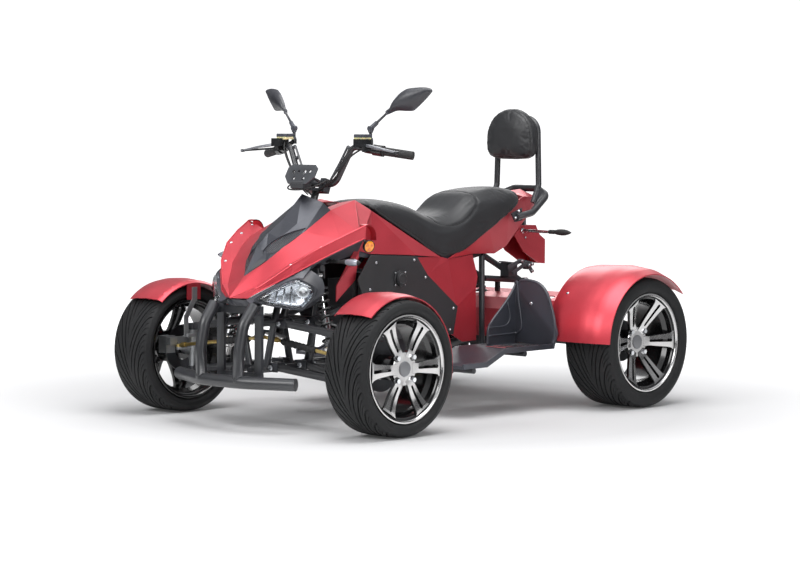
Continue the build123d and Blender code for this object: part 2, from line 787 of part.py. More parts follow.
# Body panels: named places on the left side, shared where panels meet
shell_places = {
    "tip": (934, 0, 478), "ridge": (862, 0, 553), "chin": (897, 56, 476),
    "h1": (797, 53, 609), "h2": (742, 80, 657), "h3": (650, 98, 712), "h4": (505, 92, 790),
    "m1": (795, 0, 662), "m2": (738, 0, 709), "m3": (667, 0, 755), "m4": (564, 0, 850),
    "s1": (790, 40, 640), "s2": (735, 56, 690), "s3": (655, 66, 742), "s4": (520, 70, 818),
    "g1": (868, 78, 520), "g2": (782, 146, 596), "g3": (692, 195, 650), "g4": (600, 235, 690),
    "g5": (520, 258, 712),
    "a1": (876, 100, 521), "a2": (798, 190, 602), "a3": (713, 250, 663), "a4": (625, 286, 706),
    "a5": (540, 312, 742),
    "b1": (886, 92, 497), "b2": (806, 186, 562), "b3": (700, 250, 624), "b4": (618, 282, 662),
    "b5": (538, 304, 694),
    "w": (490, 246, 700), "peak": (375, 93, 826), "q": (333, 140, 786),
    "r1": (455, 196, 640), "r2": (385, 186, 626), "v1": (127, 182, 612), "v0": (-47, 152, 597),
    "d1": (500, 56, 796), "d2": (420, 56, 816), "d3": (400, 0, 819), "d4": (330, 0, 806),
    "d5": (330, 90, 803), "f1": (548, 168, 512), "f2": (532, 150, 450), "f3": (440, 160, 528),
}
shell_middle = ("tip", "ridge", "m1", "m2", "m3", "m4", "d3", "d4")
nose_faces = [
    ("tip", "g1", "h1", "ridge"), ("g1", "g2", "h1"), ("g2", "h2", "h1"), ("g2", "g3", "h2"),
    ("g3", "h3", "h2"), ("g3", "g4", "h3"), ("g4", "g5", "h4", "h3"),
    ("tip", "a1", "g1"), ("a1", "a2", "g2", "g1"), ("a2", "a3", "g3", "g2"), ("a3", "a4", "g4", "g3"),
    ("a4", "a5", "g5", "g4"),
    ("tip", "chin", "a1"), ("chin", "b1", "a1"), ("b1", "b2", "a2", "a1"), ("b2", "b3", "a3", "a2"),
    ("b3", "b4", "a4", "a3"), ("b4", "b5", "a5", "a4"),
]
hood_faces = [
    ("ridge", "h1", "s1", "m1"), ("h1", "h2", "s2", "s1"), ("h2", "h3", "s3", "s2"),
    ("h3", "h4", "s4", "s3"), ("s1", "s2", "m2", "m1"), ("s2", "s3", "m3", "m2"),
    ("s3", "s4", "m4", "m3"),
]
tank_faces = [
    ("g5", "w", "peak", "h4"), ("w", "r1", "q", "peak"), ("h4", "peak", "d2", "d1"),
    ("d2", "peak", "d5", "d4", "d3"), ("peak", "q", "d5"), ("r1", "r2", "q"), ("r2", "v1", "q"),
    ("v1", "v0", "q"), ("f1", "r1", "w"), ("f1", "f3", "r1"), ("f1", "f2", "f3"),
]


def mirrored(places, faces, shared):
    """Adds the right side to places and faces, keeping the shared places on the middle."""
    every = {name: at(*place) for name, place in places.items()}
    for name, place in places.items():
        if name not in shared:
            every["r_" + name] = at(place[0], -place[1], place[2])
    return every, faces + other_side(faces, shared)


def other_side(faces, shared):
    return [tuple(name if name in shared else "r_" + name for name in reversed(face)) for face in faces]


def shell_panels():
    """Nose cowl, hood panel and tank cover, which meet edge to edge."""
    places, faces = mirrored(shell_places, nose_faces + hood_faces + tank_faces, shell_middle)
    inner = inner_places(places, faces, sheet_t)
    panels = []
    for part in (nose_faces, hood_faces, tank_faces):
        panels.append(skin(places, inner, part + other_side(part, shell_middle)))
    return panels


def panel(places, faces, shared=()):
    """One sheet on its own; with shared places it has both sides."""
    if shared:
        outer, all_faces = mirrored(places, faces, shared)
    else:
        outer, all_faces = {name: at(*place) for name, place in places.items()}, faces
    return skin(outer, inner_places(outer, all_faces, sheet_t), all_faces)


# Side covers below the seat
side_low = {
    "a": (-47, 152, 597), "b": (-86, 150, 588), "c": (-244, 138, 600), "d": (-262, 150, 511),
    "e": (-242, 158, 471), "f": (-244, 160, 262), "g": (-155, 166, 262), "h": (-85, 170, 296),
    "i": (-112, 172, 404), "j": (63, 178, 534), "k": (127, 181.6, 603),
}
side_low_faces = [
    ("a", "j", "k"), ("a", "b", "j"), ("b", "i", "j"), ("b", "c", "i"), ("c", "d", "i"), ("d", "e", "i"),
    ("e", "h", "i"), ("e", "g", "h"), ("e", "f", "g"),
]
def side_covers():
    """The low covers, cut back where the side plates lie on them."""
    cutter = plate(side_plate_outline, plate_y - sheet_t - seat_gap, plate_y + seat_gap)
    cut = panel(side_low, side_low_faces) - cutter
    return both(sorted(cut.solids(), key=lambda solid: solid.volume)[-1])


plate_y = 186
side_plate_outline = [(385, 622), (127, 608), (65, 534), (-110, 404), (-85, 296), (330, 296),
                      (405, 400), (436, 492), (455, 531)]


def side_plates():
    left = plate(side_plate_outline, plate_y - sheet_t, plate_y)
    socket = rod(at(226, plate_y - 1, 526), at(226, plate_y + 16, 526), 27)
    right = left.mirror(Plane.XZ)
    return [left + socket, right]


# Seat sections along the machine
# X, top Z, half width, Z of the side's lower edge, Z of the flat underside
seat_rows = [
    (322, 812, 130, 794, 803), (219, 820, 138, 737, 770), (90, 800, 144, 672, 710), (-32, 762, 150, 606, 640),
    (-93, 753, 156, 612, 640), (-177, 776, 158, 636, 650), (-259, 832, 156, 680, 690), (-344, 850, 152, 724, 730),
    (-478, 858, 138, 790, 792), (-560, 852, 104, 822, 824), (-600, 838, 60, 828, 829),
]
# share of the half width, share of the height from the top to the lower edge
seat_shape = [(0.5, 0.05), (0.8, 0.17), (0.96, 0.45), (1, 1)]


def seat():
    sections = []
    for x, top, half, edge, under in seat_rows:
        left = [(half * wide, top - (top - edge) * drop) for wide, drop in seat_shape]
        left = [(0, top)] + left + [(half * 0.72, under)]
        right = [(-y, z) for y, z in reversed(left[1:])]
        sections.append([at(x, y, z + seat_gap) for y, z in left + [(0, under)] + right])
    return rings(sections)


# Tail cover
tail = {
    "u0": (-86, 151, 590), "u1": (-177, 150, 628), "u2": (-330, 146, 708), "u3": (-478, 128, 782),
    "u4": (-600, 96, 822), "t0": (-612, 0, 838), "t1": (-699, 0, 845), "tip": (-790, 0, 816),
    "l1": (-244, 140, 604), "l2": (-400, 118, 598), "l3": (-484, 108, 626), "l4": (-569, 94, 688),
    "l5": (-655, 76, 742), "v": (-700, 74, 816), "rear": (-772, 40, 800),
}
tail_faces = [
    ("u1", "l1", "u0"), ("u1", "u2", "l2", "l1"), ("u2", "u3", "l3", "l2"), ("u3", "u4", "l4", "l3"),
    ("u4", "v", "l5", "l4"), ("t0", "t1", "v", "u4"), ("v", "rear", "l5"), ("t1", "tip", "rear", "v"),
]


def tail_cover():
    return panel(tail, tail_faces, ("t0", "t1", "tip"))


holder_top = 703
holder_side = [(-606, 662), (-663, 595), (-756, 546), (-804, 540), (-804, 640), (-769, 661),
               (-743, 701), (-651, holder_top)]
# the same flap 3 mm further in, open below and in front
holder_inside = [(-801, 500), (-801, 638.3), (-766.9, 658.8), (-741.5, 698), (-590, 701.3), (-590, 500)]
holder_half = 50
holder_t = 3
plate_hole_r = 3.5
plate_hole_y = 35
plate_hole_z = 605


def plate_holder():
    """A folded flap: two sides joined by the strips over their upper and rear edges."""
    whole = plate(holder_side, -holder_half, holder_half)
    whole = whole - plate(holder_inside, holder_t - holder_half, holder_half - holder_t)
    rear = at(-804, 0, plate_hole_z)
    for side in (-1, 1):
        middle = rear + Vector(0, side * plate_hole_y, 0)
        whole = whole - rod(middle - Vector(10, 0, 0), middle + Vector(10, 0, 0), plate_hole_r)
    return whole


def tail_light():
    outline = [(-702 - seat_gap, 806), (-764, 790), (-764, 770), (-702 - seat_gap, 772)]
    return plate(outline, -34, 34)


# Headlights
lens_outline = [(891, 101, 478), (846, 157, 519), (806, 207, 547), (788, 230, 540), (761, 264, 510),
                (784, 235, 451), (806, 208, 443), (873, 124, 459)]
housing_back = [(800, 70, 470), (763.3, 108.2, 508), (750, 165, 556), (742, 218, 580), (738, 284, 546),
                (738, 284, 490), (744, 204, 440), (796, 90, 450)]
lens_out = Vector(0.781, 0.624, 0)


def headlights():
    front = [at(*place) for place in lens_outline]
    back = [at(*place) for place in housing_back]
    middle = sum(front[1:], front[0]) * (1 / len(front))
    wide = [middle + (place - middle) * 1.1 for place in front]
    housing = rings([wide, back])
    lens = rings([[place + lens_out * seat_gap for place in front],
                  [middle + (place - middle) * 0.84 + lens_out * 14 for place in front]])
    return housing, lens


bridge_rows = [
    # X, Z of the front upper, front lower, rear lower and rear upper corners, at a Y
    (0, (922, 472), (898, 446), (872, 450), (880, 470)),
    (44, (902, 470), (890, 446), (868, 450), (872, 468)),
    (84, (868, 462), (862, 446), (846, 450), (850, 460)),
]


def lamp_bridge():
    """The black lip below the nose's tip, from lamp to lamp."""
    rows = [(-row[0], *row[1:]) for row in reversed(bridge_rows[1:])] + bridge_rows
    return rings([[at(x, y, z) for x, z in corners] for y, *corners in rows])


# Lamps on stalks and side reflectors
def indicators():
    """Front and rear indicators on rubber stalks, and the round reflectors."""
    front_at = Vector(front_x - 45, 0, 610)
    front = fused([rod(front_at + Vector(0, 97 + seat_gap, 0), front_at + Vector(0, 305, 0), 7),
                   rod(front_at + Vector(0, 300, 0), front_at + Vector(0, 380, 0), 14)])
    rear_at = at(-655, 0, 680)
    rear = fused([rod(rear_at + Vector(0, holder_half + seat_gap, 0), rear_at + Vector(0, 210, 0), 7),
                  rod(rear_at + Vector(0, 205, 0), rear_at + Vector(0, 310, 0), 13)])
    return both(front) + both(rear)


def reflectors():
    out = Vector(0.198, 0.966, -0.169)
    middle = at(515, 296.9, 664)
    disc = rod(middle - out * 2, middle + out * 10, 23.5)
    stem = bar(middle, at(550, 296.1, 700), 12, 4, out)
    return both(disc + stem)


# Rails and backrest
grab_lug = [(-478, 757), (-541, 778), (-545, 728), (-500, 722)]
backrest_lug = [(-636, 770), (-676, 790), (-692, 852), (-664, 852)]


def grab_rail():
    left = [at(-505, 148, 742), at(-603, 146, 757), at(-718, 128, 826), at(-738, 62, 852)]
    right = [Vector(p.X, -p.Y, p.Z) for p in reversed(left)]
    loop = tube(left + right, 14, [60, 50, 40, 40, 50, 60])
    pieces = [loop]
    for side in (-1, 1):
        for outline, low_y, high_y in ((grab_lug, 139, 145), (backrest_lug, 124 + seat_gap, 131)):
            lug = plate(outline, low_y, high_y)
            pieces.append(lug if side == 1 else lug.mirror(Plane.XZ))
    return fused(pieces)


def backrest_frame():
    left = [at(-650, 112, 796), at(-684, 112, 866), at(-684, 104, 1140)]
    right = [Vector(p.X, -p.Y, p.Z) for p in reversed(left)]
    return tube(left[:2] + [left[2], right[0]] + right[1:], 12, [28, 60, 60, 28])


pad_front = -612
pad_back = -671.7
pad_half = 122
pad_low = 975
pad_high = 1178


def backrest_pad():
    """A rounded pad: flat below, arched above."""
    outline = [(-pad_half + 16, pad_low), (pad_half - 16, pad_low), (pad_half, pad_low + 40),
               (pad_half - 2, pad_high - 80)]
    arch = [(pad_half * math.cos(math.radians(a)) * 0.98, pad_high - 80 + 80 * math.sin(math.radians(a)))
            for a in range(20, 180, 20)]
    outline += arch + [(-pad_half + 2, pad_high - 80), (-pad_half, pad_low + 40)]
    middle_z = (pad_low + pad_high) / 2
    # X, share of the outline
    table = [(pad_back, 0.94), (pad_back + 12, 1.0), (pad_front - 16, 1.0), (pad_front, 0.9)]
    sections = [[at(x, y * share, middle_z + (z - middle_z) * share) for y, z in outline]
                for x, share in table]
    return rings(sections)


# Rear fenders and deck
def rear_fender():
    """The left fender: a hoop over the tyre with an inner wall."""
    # distance from the middle of the machine, radius from the axle
    crown = [(fender_in_y, fender_r - 4), (fender_in_y + 40, fender_r + 2), (rear_wheel_y, fender_r + 6),
             (rear_wheel_y + 75, fender_r - 4), (fender_out_y, fender_r - 24)]
    profile = [(fender_in_y, inner_wall_r)] + crown
    profile += [(y, r - sheet_t) for y, r in reversed(crown[1:])]
    profile += [(fender_in_y + sheet_t, fender_r - 8), (fender_in_y + sheet_t, inner_wall_r)]
    face = Face(Wire.make_polygon([Vector(r, y, 0) for y, r in profile], close=True))
    face = Rot(0, -fender_from, 0) * face
    hoop = revolve(face, Axis.Y, -(fender_to - fender_from))
    return Pos(rear_x, 0, rear_tyre_r) * hoop


deck_outline = [(-424, 262), (-418, 300), (-452, 372), (-520, 414), (-600, 428), (-790, 428)]
deck_t = 4
# X, Y, radius of the openings for the rear springs and beside them
deck_openings = [(-604, 122, 36), (-560, 262, 34)]


def rear_deck():
    """The sheet between the fenders, curved down in front."""
    inner = [(x - deck_t * 0.8, z - deck_t) for x, z in reversed(deck_outline)]
    inner[0] = (deck_outline[-1][0], deck_outline[-1][1] - deck_t)
    inner[-1] = (deck_outline[0][0] - deck_t, deck_outline[0][1])
    reach = fender_in_y - seat_gap
    sheet = plate(deck_outline + inner, -reach, reach)
    for x, y, radius in deck_openings:
        for side in (-1, 1):
            sheet = sheet - Pos(x * stretch, side * y, 380) * Cylinder(radius, 80, align=foot)
    return sheet


# Footrests
board_in_y = 190
board_out_y = 450
board_z = 250
low_board_z = 204
board_t = 12
guard_x = -372
guard_outline = [(250, 262), (250, 500), (331, 504), (388, 491), (429, 443), (471, 305), (452, 250)]


def footrest():
    """The moulded board with its heel guard."""
    profile = [(150, low_board_z), (20, low_board_z), (-90, board_z), (-385, board_z),
               (-385, board_z - board_t), (-92, board_z - board_t), (16, low_board_z - board_t),
               (150, low_board_z - board_t)]
    board = plate(profile, board_in_y, board_out_y)
    edge = [(x, z) for x, z in profile[:4]] + [(-385, board_z + 8), (-90, board_z + 8), (20, low_board_z + 8),
                                              (150, low_board_z + 8)]
    rim_out = plate(edge, board_out_y - 10, board_out_y)
    wall = plate([(-385, board_z - 2), (-207, board_z - 2), (-207, 290), (-215, 330), (-352, 440), (-385, 496)],
                 250, 258)
    guard_face = Face(Wire.make_polygon([at(guard_x, y, z - 6) for y, z in guard_outline], close=True))
    guard = extrude(guard_face, amount=10, dir=(-1, 0, 0))
    return fused([board, rim_out, wall, guard])


# Running gear at the back
def rear_drive():
    """Axle housing, final drive and motor as plain solids, drums and spindles."""
    axle = Vector(rear_x, 0, rear_tyre_r)
    drum_out = rear_wheel_y + rear_hub_back - 6
    end = rear_wheel_y + rear_face - 14
    pieces = [rod(axle - Vector(0, drum_out - 40, 0), axle + Vector(0, drum_out - 40, 0), 32)]
    for side in (-1, 1):
        pieces.append(rod(axle + Vector(0, side * (drum_out - 44), 0), axle + Vector(0, side * drum_out, 0), 82))
        pieces.append(rod(axle, axle + Vector(0, side * end, 0), spindle_r))
    pieces.append(block((rear_x - 70, rear_x + 70), (-80, 80), (rear_tyre_r - 72, rear_tyre_r + 72)))
    motor_at = axle + Vector(115, 0, 2)
    pieces.append(rod(motor_at - Vector(0, 95, 0), motor_at + Vector(0, 95, 0), 82))
    return fused(pieces)


arm_ring_y = 150


def swing_arm():
    """Two trailing bars with rings around the axle housing, and a cross tube."""
    pivot = at(-330, 0, lower_rail_z + 12)
    axle = Vector(rear_x, 0, rear_tyre_r)
    pieces = []
    for side in (-1, 1):
        inner = side * (mid_rail_y + 8 + seat_gap)
        outer = inner + side * 22
        low_y, high_y = sorted((inner, outer))
        pieces.append(rod(Vector(pivot.X - 50, low_y, pivot.Z), Vector(pivot.X - 50, high_y, pivot.Z), 18))
        middle = (low_y + high_y) / 2
        ring_at = Vector(axle.X, side * arm_ring_y, axle.Z)
        pieces.append(bar(Vector(pivot.X - 50, middle, pivot.Z), Vector(axle.X, middle, axle.Z), 20, 34))
        pieces.append(rod(ring_at - Vector(0, 14, 0), ring_at + Vector(0, 14, 0), 44))
        ear = Vector(axle.X + 40, side * 118, axle.Z + 44)
        pieces.append(block((ear.X - 22, ear.X - 12 - seat_gap), (min(side * 106, side * 150), max(side * 106, side * 150)),
                            (ear.Z - 22, ear.Z + 12)))
        pieces.append(block((ear.X - 44, ear.X - 12 - seat_gap), (min(side * 136, side * 164), max(side * 136, side * 164)),
                            (axle.Z, ear.Z - 2)))
    whole = fused(pieces)
    for side in (-1, 1):
        ring_at = Vector(axle.X, side * arm_ring_y, axle.Z)
        whole = whole - rod(ring_at - Vector(0, 50, 0), ring_at + Vector(0, 50, 0), 32 + seat_gap)
    return whole


def rear_shocks():
    low = Vector(rear_x + 40, 118, rear_tyre_r + 44)
    top = at(-585, 100, 483) + Vector(0, 26, 0)
    return both(coil_over(low, top, 24, 6, 0.6))


def battery_box():
    return block((-40 * stretch, 330 * stretch), (-94, 94), (lower_rail_z + rail_r - 2 + seat_gap, 520))


def parking_brake():
    """The lever and cylinder on the left rear brace."""
    seat_at = at(-470, 110.3 + seat_gap, 530)
    body = block((seat_at.X - 34, seat_at.X + 20), (seat_at.Y, seat_at.Y + 44), (505, 560))
    lever = bar(seat_at + Vector(0, 30, 30), at(-360, 190, 570), 18, 5)
    return body + lever


def save_body():
    save("main_frame", fused(upper_rails() + bearings()))
    save("lower_frame", fused(lower_rails()))
    save("frame_posts", frame_posts())
    save("front_bumper", front_bumper())
    save("front_carrier", front_carrier())
    for name, piece in zip(("nose_cowl", "hood_panel", "tank_cover"), shell_panels()):
        save(name, piece)
    save("side_covers", side_covers())
    save("side_plates", side_plates())
    save("seat", seat())
    save("tail_cover", tail_cover())
    save("plate_holder", plate_holder())
    save("tail_light", tail_light())
    housing, lens = headlights()
    save("lamp_bridge", lamp_bridge())
    save("headlight_housings", both(housing))
    save("headlight_lenses", both(lens))
    save("indicators", indicators())
    save("side_reflectors", reflectors())
    save("grab_rail", grab_rail())
    save("backrest_frame", backrest_frame())
    save("backrest_pad", backrest_pad())
    for side, piece in zip(("left", "right"), both(rear_fender())):
        save(f"rear_fender_{side}", piece)
    save("rear_deck", rear_deck())
    for side, piece in zip(("left", "right"), both(footrest())):
        save(f"footrest_{side}", piece)
    save("rear_drive", rear_drive())
    save("swing_arm", swing_arm())
    save("rear_shocks", rear_shocks())
    save("battery_box", battery_box())
    save("parking_brake", parking_brake())


os.makedirs("parts", exist_ok=True)
save_wheels()
save_knuckles()
save_suspension()
save_steering()
save_body()
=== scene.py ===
# %% [markdown]
# # A quad bike, dressed around its CAD frame
# The CAD model gives every piece its place and its joints. This script keeps those places and adds
# what the eye expects: lacquer, cast and turned metal, rubber with tread, stitched vinyl, lamps
# with glass in front and small fasteners. The frame is in metres, X forward, Y left, Z up.

import json
import math

import bmesh
import bpy
from mathutils import Matrix, Vector
from mathutils.bvhtree import BVHTree
from mathutils.kdtree import KDTree


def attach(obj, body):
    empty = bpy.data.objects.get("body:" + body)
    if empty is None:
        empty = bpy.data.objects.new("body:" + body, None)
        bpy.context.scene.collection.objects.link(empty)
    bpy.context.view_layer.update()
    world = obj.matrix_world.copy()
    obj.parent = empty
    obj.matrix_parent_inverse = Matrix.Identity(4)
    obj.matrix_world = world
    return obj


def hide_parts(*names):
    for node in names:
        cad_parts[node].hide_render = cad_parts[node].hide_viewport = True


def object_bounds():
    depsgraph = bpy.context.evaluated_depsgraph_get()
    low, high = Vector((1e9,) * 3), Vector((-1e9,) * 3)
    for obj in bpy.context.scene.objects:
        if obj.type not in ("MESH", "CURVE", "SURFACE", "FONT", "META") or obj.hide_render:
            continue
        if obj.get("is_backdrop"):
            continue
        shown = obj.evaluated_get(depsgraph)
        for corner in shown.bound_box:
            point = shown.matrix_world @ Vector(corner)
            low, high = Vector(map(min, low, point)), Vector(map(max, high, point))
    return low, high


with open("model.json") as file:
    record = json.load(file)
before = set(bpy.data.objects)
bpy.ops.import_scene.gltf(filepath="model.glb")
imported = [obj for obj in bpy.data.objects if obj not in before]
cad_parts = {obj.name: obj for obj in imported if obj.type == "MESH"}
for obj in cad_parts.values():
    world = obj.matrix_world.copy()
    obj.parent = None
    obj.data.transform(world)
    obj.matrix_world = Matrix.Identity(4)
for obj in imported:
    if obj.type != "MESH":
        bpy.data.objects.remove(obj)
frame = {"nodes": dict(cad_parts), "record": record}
cad_low, cad_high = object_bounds()
nodes = frame["nodes"]
bodies = frame["record"]["behaviour"]["bodies"]
body_of = {node: body for body, members in bodies.items() for node in members}
SIDES = {"left": 1, "right": -1}
print("CAD nodes", len(nodes), "box", [round(v, 3) for v in cad_high - cad_low])

# %% [markdown]
# ## Places
# The drawing's own origin is on the ground at the middle of the wheelbase, and its places are in
# millimetres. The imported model's origin is 31.5 mm ahead of that, so one function turns a
# drawing's place into the frame. Most places are written once, for the left side, and mirrored.

# %% Places in millimetres
ORIGIN_MM = 31.5


def at(x, y, z):
    return Vector(((x - ORIGIN_MM) / 1000, y / 1000, z / 1000))


def mirrored(point, side):
    return Vector((point[0], point[1] * side, point[2]))


def put(side, place):
    """A drawing's place on the left side, or its mirror image on the right."""
    return mirrored(at(*place), side)


def puts(side, places):
    return [put(side, place) for place in places]


def circle(count):
    """Cosine and sine of even steps round a circle."""
    return [(math.cos(2 * math.pi * i / count), math.sin(2 * math.pi * i / count))
            for i in range(count)]


def spline(points, per_span, closed=False):
    """A smooth line through points of any dimension."""
    count, made = len(points), []
    for i in range(count if closed else count - 1):
        near = (i + k for k in (-1, 0, 1, 2))
        p0, p1, p2, p3 = (Vector(points[k % count if closed else max(0, min(count - 1, k))])
                          for k in near)
        for step in range(per_span):
            t = step / per_span
            made.append(0.5 * ((2 * p1) + (p2 - p0) * t + (2 * p0 - 5 * p1 + 4 * p2 - p3) * t * t
                               + (3 * p1 - p0 - 3 * p2 + p3) * t ** 3))
    return made if closed else made + [Vector(points[-1])]


def clamped(value, low=0.0, high=1.0):
    return min(high, max(low, value))


# %% [markdown]
# ## Camera
# A long lens nine and a half metres off, at the height of the grips, looks at the front left
# corner. Its position and turn come from lines measured on the photograph.

# %% The camera
CAMERA_PLACE = at(6993.4, 6492.5, 1106.5)
CAMERA_YAW, CAMERA_PITCH, CAMERA_ROLL = (math.radians(a) for a in (222.967, -3.679, 0.313))
FOCAL_PX, PHOTO_WIDTH_PX, SENSOR_MM = 2439.2, 800, 36


def link(item):
    bpy.context.scene.collection.objects.link(item)
    return item


camera_data = bpy.data.cameras.new("camera")
camera_data.sensor_width = SENSOR_MM
camera_data.lens = FOCAL_PX / PHOTO_WIDTH_PX * SENSOR_MM
camera = link(bpy.data.objects.new("camera", camera_data))
forward = Vector((math.cos(CAMERA_PITCH) * math.cos(CAMERA_YAW),
                  math.cos(CAMERA_PITCH) * math.sin(CAMERA_YAW), math.sin(CAMERA_PITCH)))
level_right = forward.cross(Vector((0, 0, 1))).normalized()
level_up = level_right.cross(forward)
right = level_right * math.cos(CAMERA_ROLL) + level_up * math.sin(CAMERA_ROLL)
up = -level_right * math.sin(CAMERA_ROLL) + level_up * math.cos(CAMERA_ROLL)
turn = Matrix((right, up, -forward)).transposed()
camera.matrix_world = Matrix.Translation(CAMERA_PLACE) @ turn.to_4x4()
bpy.context.scene.camera = camera
print("lens", round(camera_data.lens, 1), "mm")

# %% [markdown]
# ## Colour and nodes
# Colours are written as they look on a screen, and one function turns them to the linear light
# that the renderer adds up. The others empty a node tree and add a node with its settings.

# %% Helpers for materials


def linear(code):
    parts = [int(code[i:i + 2], 16) / 255 for i in (1, 3, 5)]
    return (*[c / 12.92 if c <= 0.04045 else ((c + 0.055) / 1.055) ** 2.4 for c in parts], 1.0)


def empty_tree(owner):
    owner.use_nodes = True
    owner.node_tree.nodes.clear()
    return owner.node_tree


def add(tree, kind, inputs=None, **settings):
    node = tree.nodes.new("ShaderNode" + kind)
    for name, value in settings.items():
        setattr(node, name, value)
    for name, value in (inputs or {}).items():
        if isinstance(value, bpy.types.NodeSocket):
            tree.links.new(value, node.inputs[name])
        else:
            node.inputs[name].default_value = value
    return node


# %% [markdown]
# ## Floor, backdrop and light
# A studio shot stands on a white sweep. The floor curves up behind the object, and camera rays see
# it nearly white while it keeps the soft shadow. Large lamps give broad, soft highlights.

# %% The stage
SWEEP_BACK_M, SWEEP_SIDE_M, SWEEP_RADIUS_M, SWEEP_TOP_M, SWEEP_STEPS = 14.0, 22.0, 3.0, 16.0, 12
NEAR_M, FAR_M, NEAR_GLOW = 1.1, 3.2, 0.04


def white_sweep_material():
    material = bpy.data.materials.new("white_paper_sweep")
    tree = empty_tree(material)
    path = add(tree, "LightPath")
    paper = add(tree, "BsdfDiffuse", {"Color": linear("#F4F4F4")})
    place = add(tree, "NewGeometry")
    away = add(tree, "VectorMath", {0: place.outputs["Position"]}, operation="LENGTH")
    strength = add(tree, "MapRange", {"Value": away.outputs["Value"], "From Min": NEAR_M,
                                      "From Max": FAR_M, "To Min": NEAR_GLOW, "To Max": 1.0})
    glow = add(tree, "Emission", {"Color": linear("#FFFFFF"), "Strength": strength.outputs[0]})
    dimmed = add(tree, "BsdfDiffuse", {"Color": linear("#B9B9BA")})
    both = add(tree, "AddShader", {0: dimmed.outputs[0], 1: glow.outputs[0]})
    mix = add(tree, "MixShader", {0: path.outputs["Is Camera Ray"], 1: paper.outputs[0],
                                  2: both.outputs[0]})
    add(tree, "OutputMaterial", {"Surface": mix.outputs[0]})
    return material


def sweep_floor():
    line = [(-SWEEP_BACK_M, 0.0), (SWEEP_BACK_M, 0.0)]
    for i in range(1, SWEEP_STEPS + 1):
        a = math.pi / 2 * i / SWEEP_STEPS
        line.append((SWEEP_BACK_M + SWEEP_RADIUS_M * math.sin(a),
                     SWEEP_RADIUS_M * (1 - math.cos(a))))
    line.append((SWEEP_BACK_M + SWEEP_RADIUS_M, SWEEP_TOP_M))
    ahead = Vector((math.cos(CAMERA_YAW), math.sin(CAMERA_YAW), 0))
    across = Vector((-ahead.y, ahead.x, 0))
    grid = bmesh.new()
    rows = [[grid.verts.new(ahead * distance + across * w + Vector((0, 0, height)))
             for w in (-SWEEP_SIDE_M, SWEEP_SIDE_M)] for distance, height in line]
    for a, b in zip(rows, rows[1:]):
        grid.faces.new((a[0], a[1], b[1], b[0])).smooth = True
    mesh = bpy.data.meshes.new("floor")
    grid.to_mesh(mesh)
    mesh.materials.append(white_sweep_material())
    floor = link(bpy.data.objects.new("floor", mesh))
    floor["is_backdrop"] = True


sweep_floor()

# %% Lamps and world
LAMPS = [  # name, place, aimed at, width, height, watts
    ("top_light", (0.4, 0.9, 4.2), (0, 0, 0.4), 3.6, 3.0, 215),
    ("key_light", (4.2, -0.4, 2.8), (0.2, 0, 0.5), 2.4, 1.8, 125),
    ("side_light", (1.2, 4.6, 1.9), (0, 0, 0.4), 2.6, 1.4, 80),
    ("back_light", (-3.6, -2.4, 2.8), (0, 0, 0.6), 2.6, 1.8, 55),
]
for name, place, target, width, height, watts in LAMPS:
    lamp = bpy.data.lights.new(name, "AREA")
    lamp.shape, lamp.size, lamp.size_y, lamp.energy = "RECTANGLE", width, height, watts
    stand = link(bpy.data.objects.new(name, lamp))
    stand.location = place
    stand.rotation_euler = (Vector(target) - Vector(place)).to_track_quat("-Z", "Y").to_euler()

world = bpy.data.worlds.new("studio")
bpy.context.scene.world = world
sky = empty_tree(world)
ray = add(sky, "LightPath")
heading = add(sky, "SeparateXYZ", {"Vector": add(sky, "TexCoord").outputs["Generated"]})
ceiling = add(sky, "MapRange", {"Value": heading.outputs["Z"], "From Min": 0.08,
                                "From Max": 0.75, "To Min": 0.1, "To Max": 0.85})
room, reflected, seen = (add(sky, "Background", {"Color": linear(code), "Strength": strength})
                         for code, strength in (("#F2F4F8", 0.3), ("#F4F5F8", ceiling.outputs[0]),
                                                ("#FFFFFF", 1.0)))
unseen = add(sky, "MixShader", {0: ray.outputs["Is Glossy Ray"], 1: room.outputs[0],
                                2: reflected.outputs[0]})
whole = add(sky, "MixShader", {0: ray.outputs["Is Camera Ray"], 1: unseen.outputs[0],
                               2: seen.outputs[0]})
add(sky, "OutputWorld", {"Surface": whole.outputs[0]})
bpy.context.scene.view_settings.view_transform = "Standard"

# %% [markdown]
# ## Finishes
# Nearly every hard surface here is one of a few: lacquer over moulded plastic, powder coat over
# steel, bare moulded plastic, cast or turned aluminium, plated steel and rubber. They share one
# recipe: two near colours mixed by a soft noise, a roughness that wanders a little, and a fine
# bump at the size of the real grain. Only the values differ, so one function makes them.

# %% The shared recipe for a hard finish
BLEND = {"From Min": 0.7, "From Max": 1.3}
# Where convex edges turn lighter: partly edge wear, partly a painted highlight along the edges.
EDGE_WEAR_AND_HIGHLIGHT = {"From Min": 0.53, "From Max": 0.62}


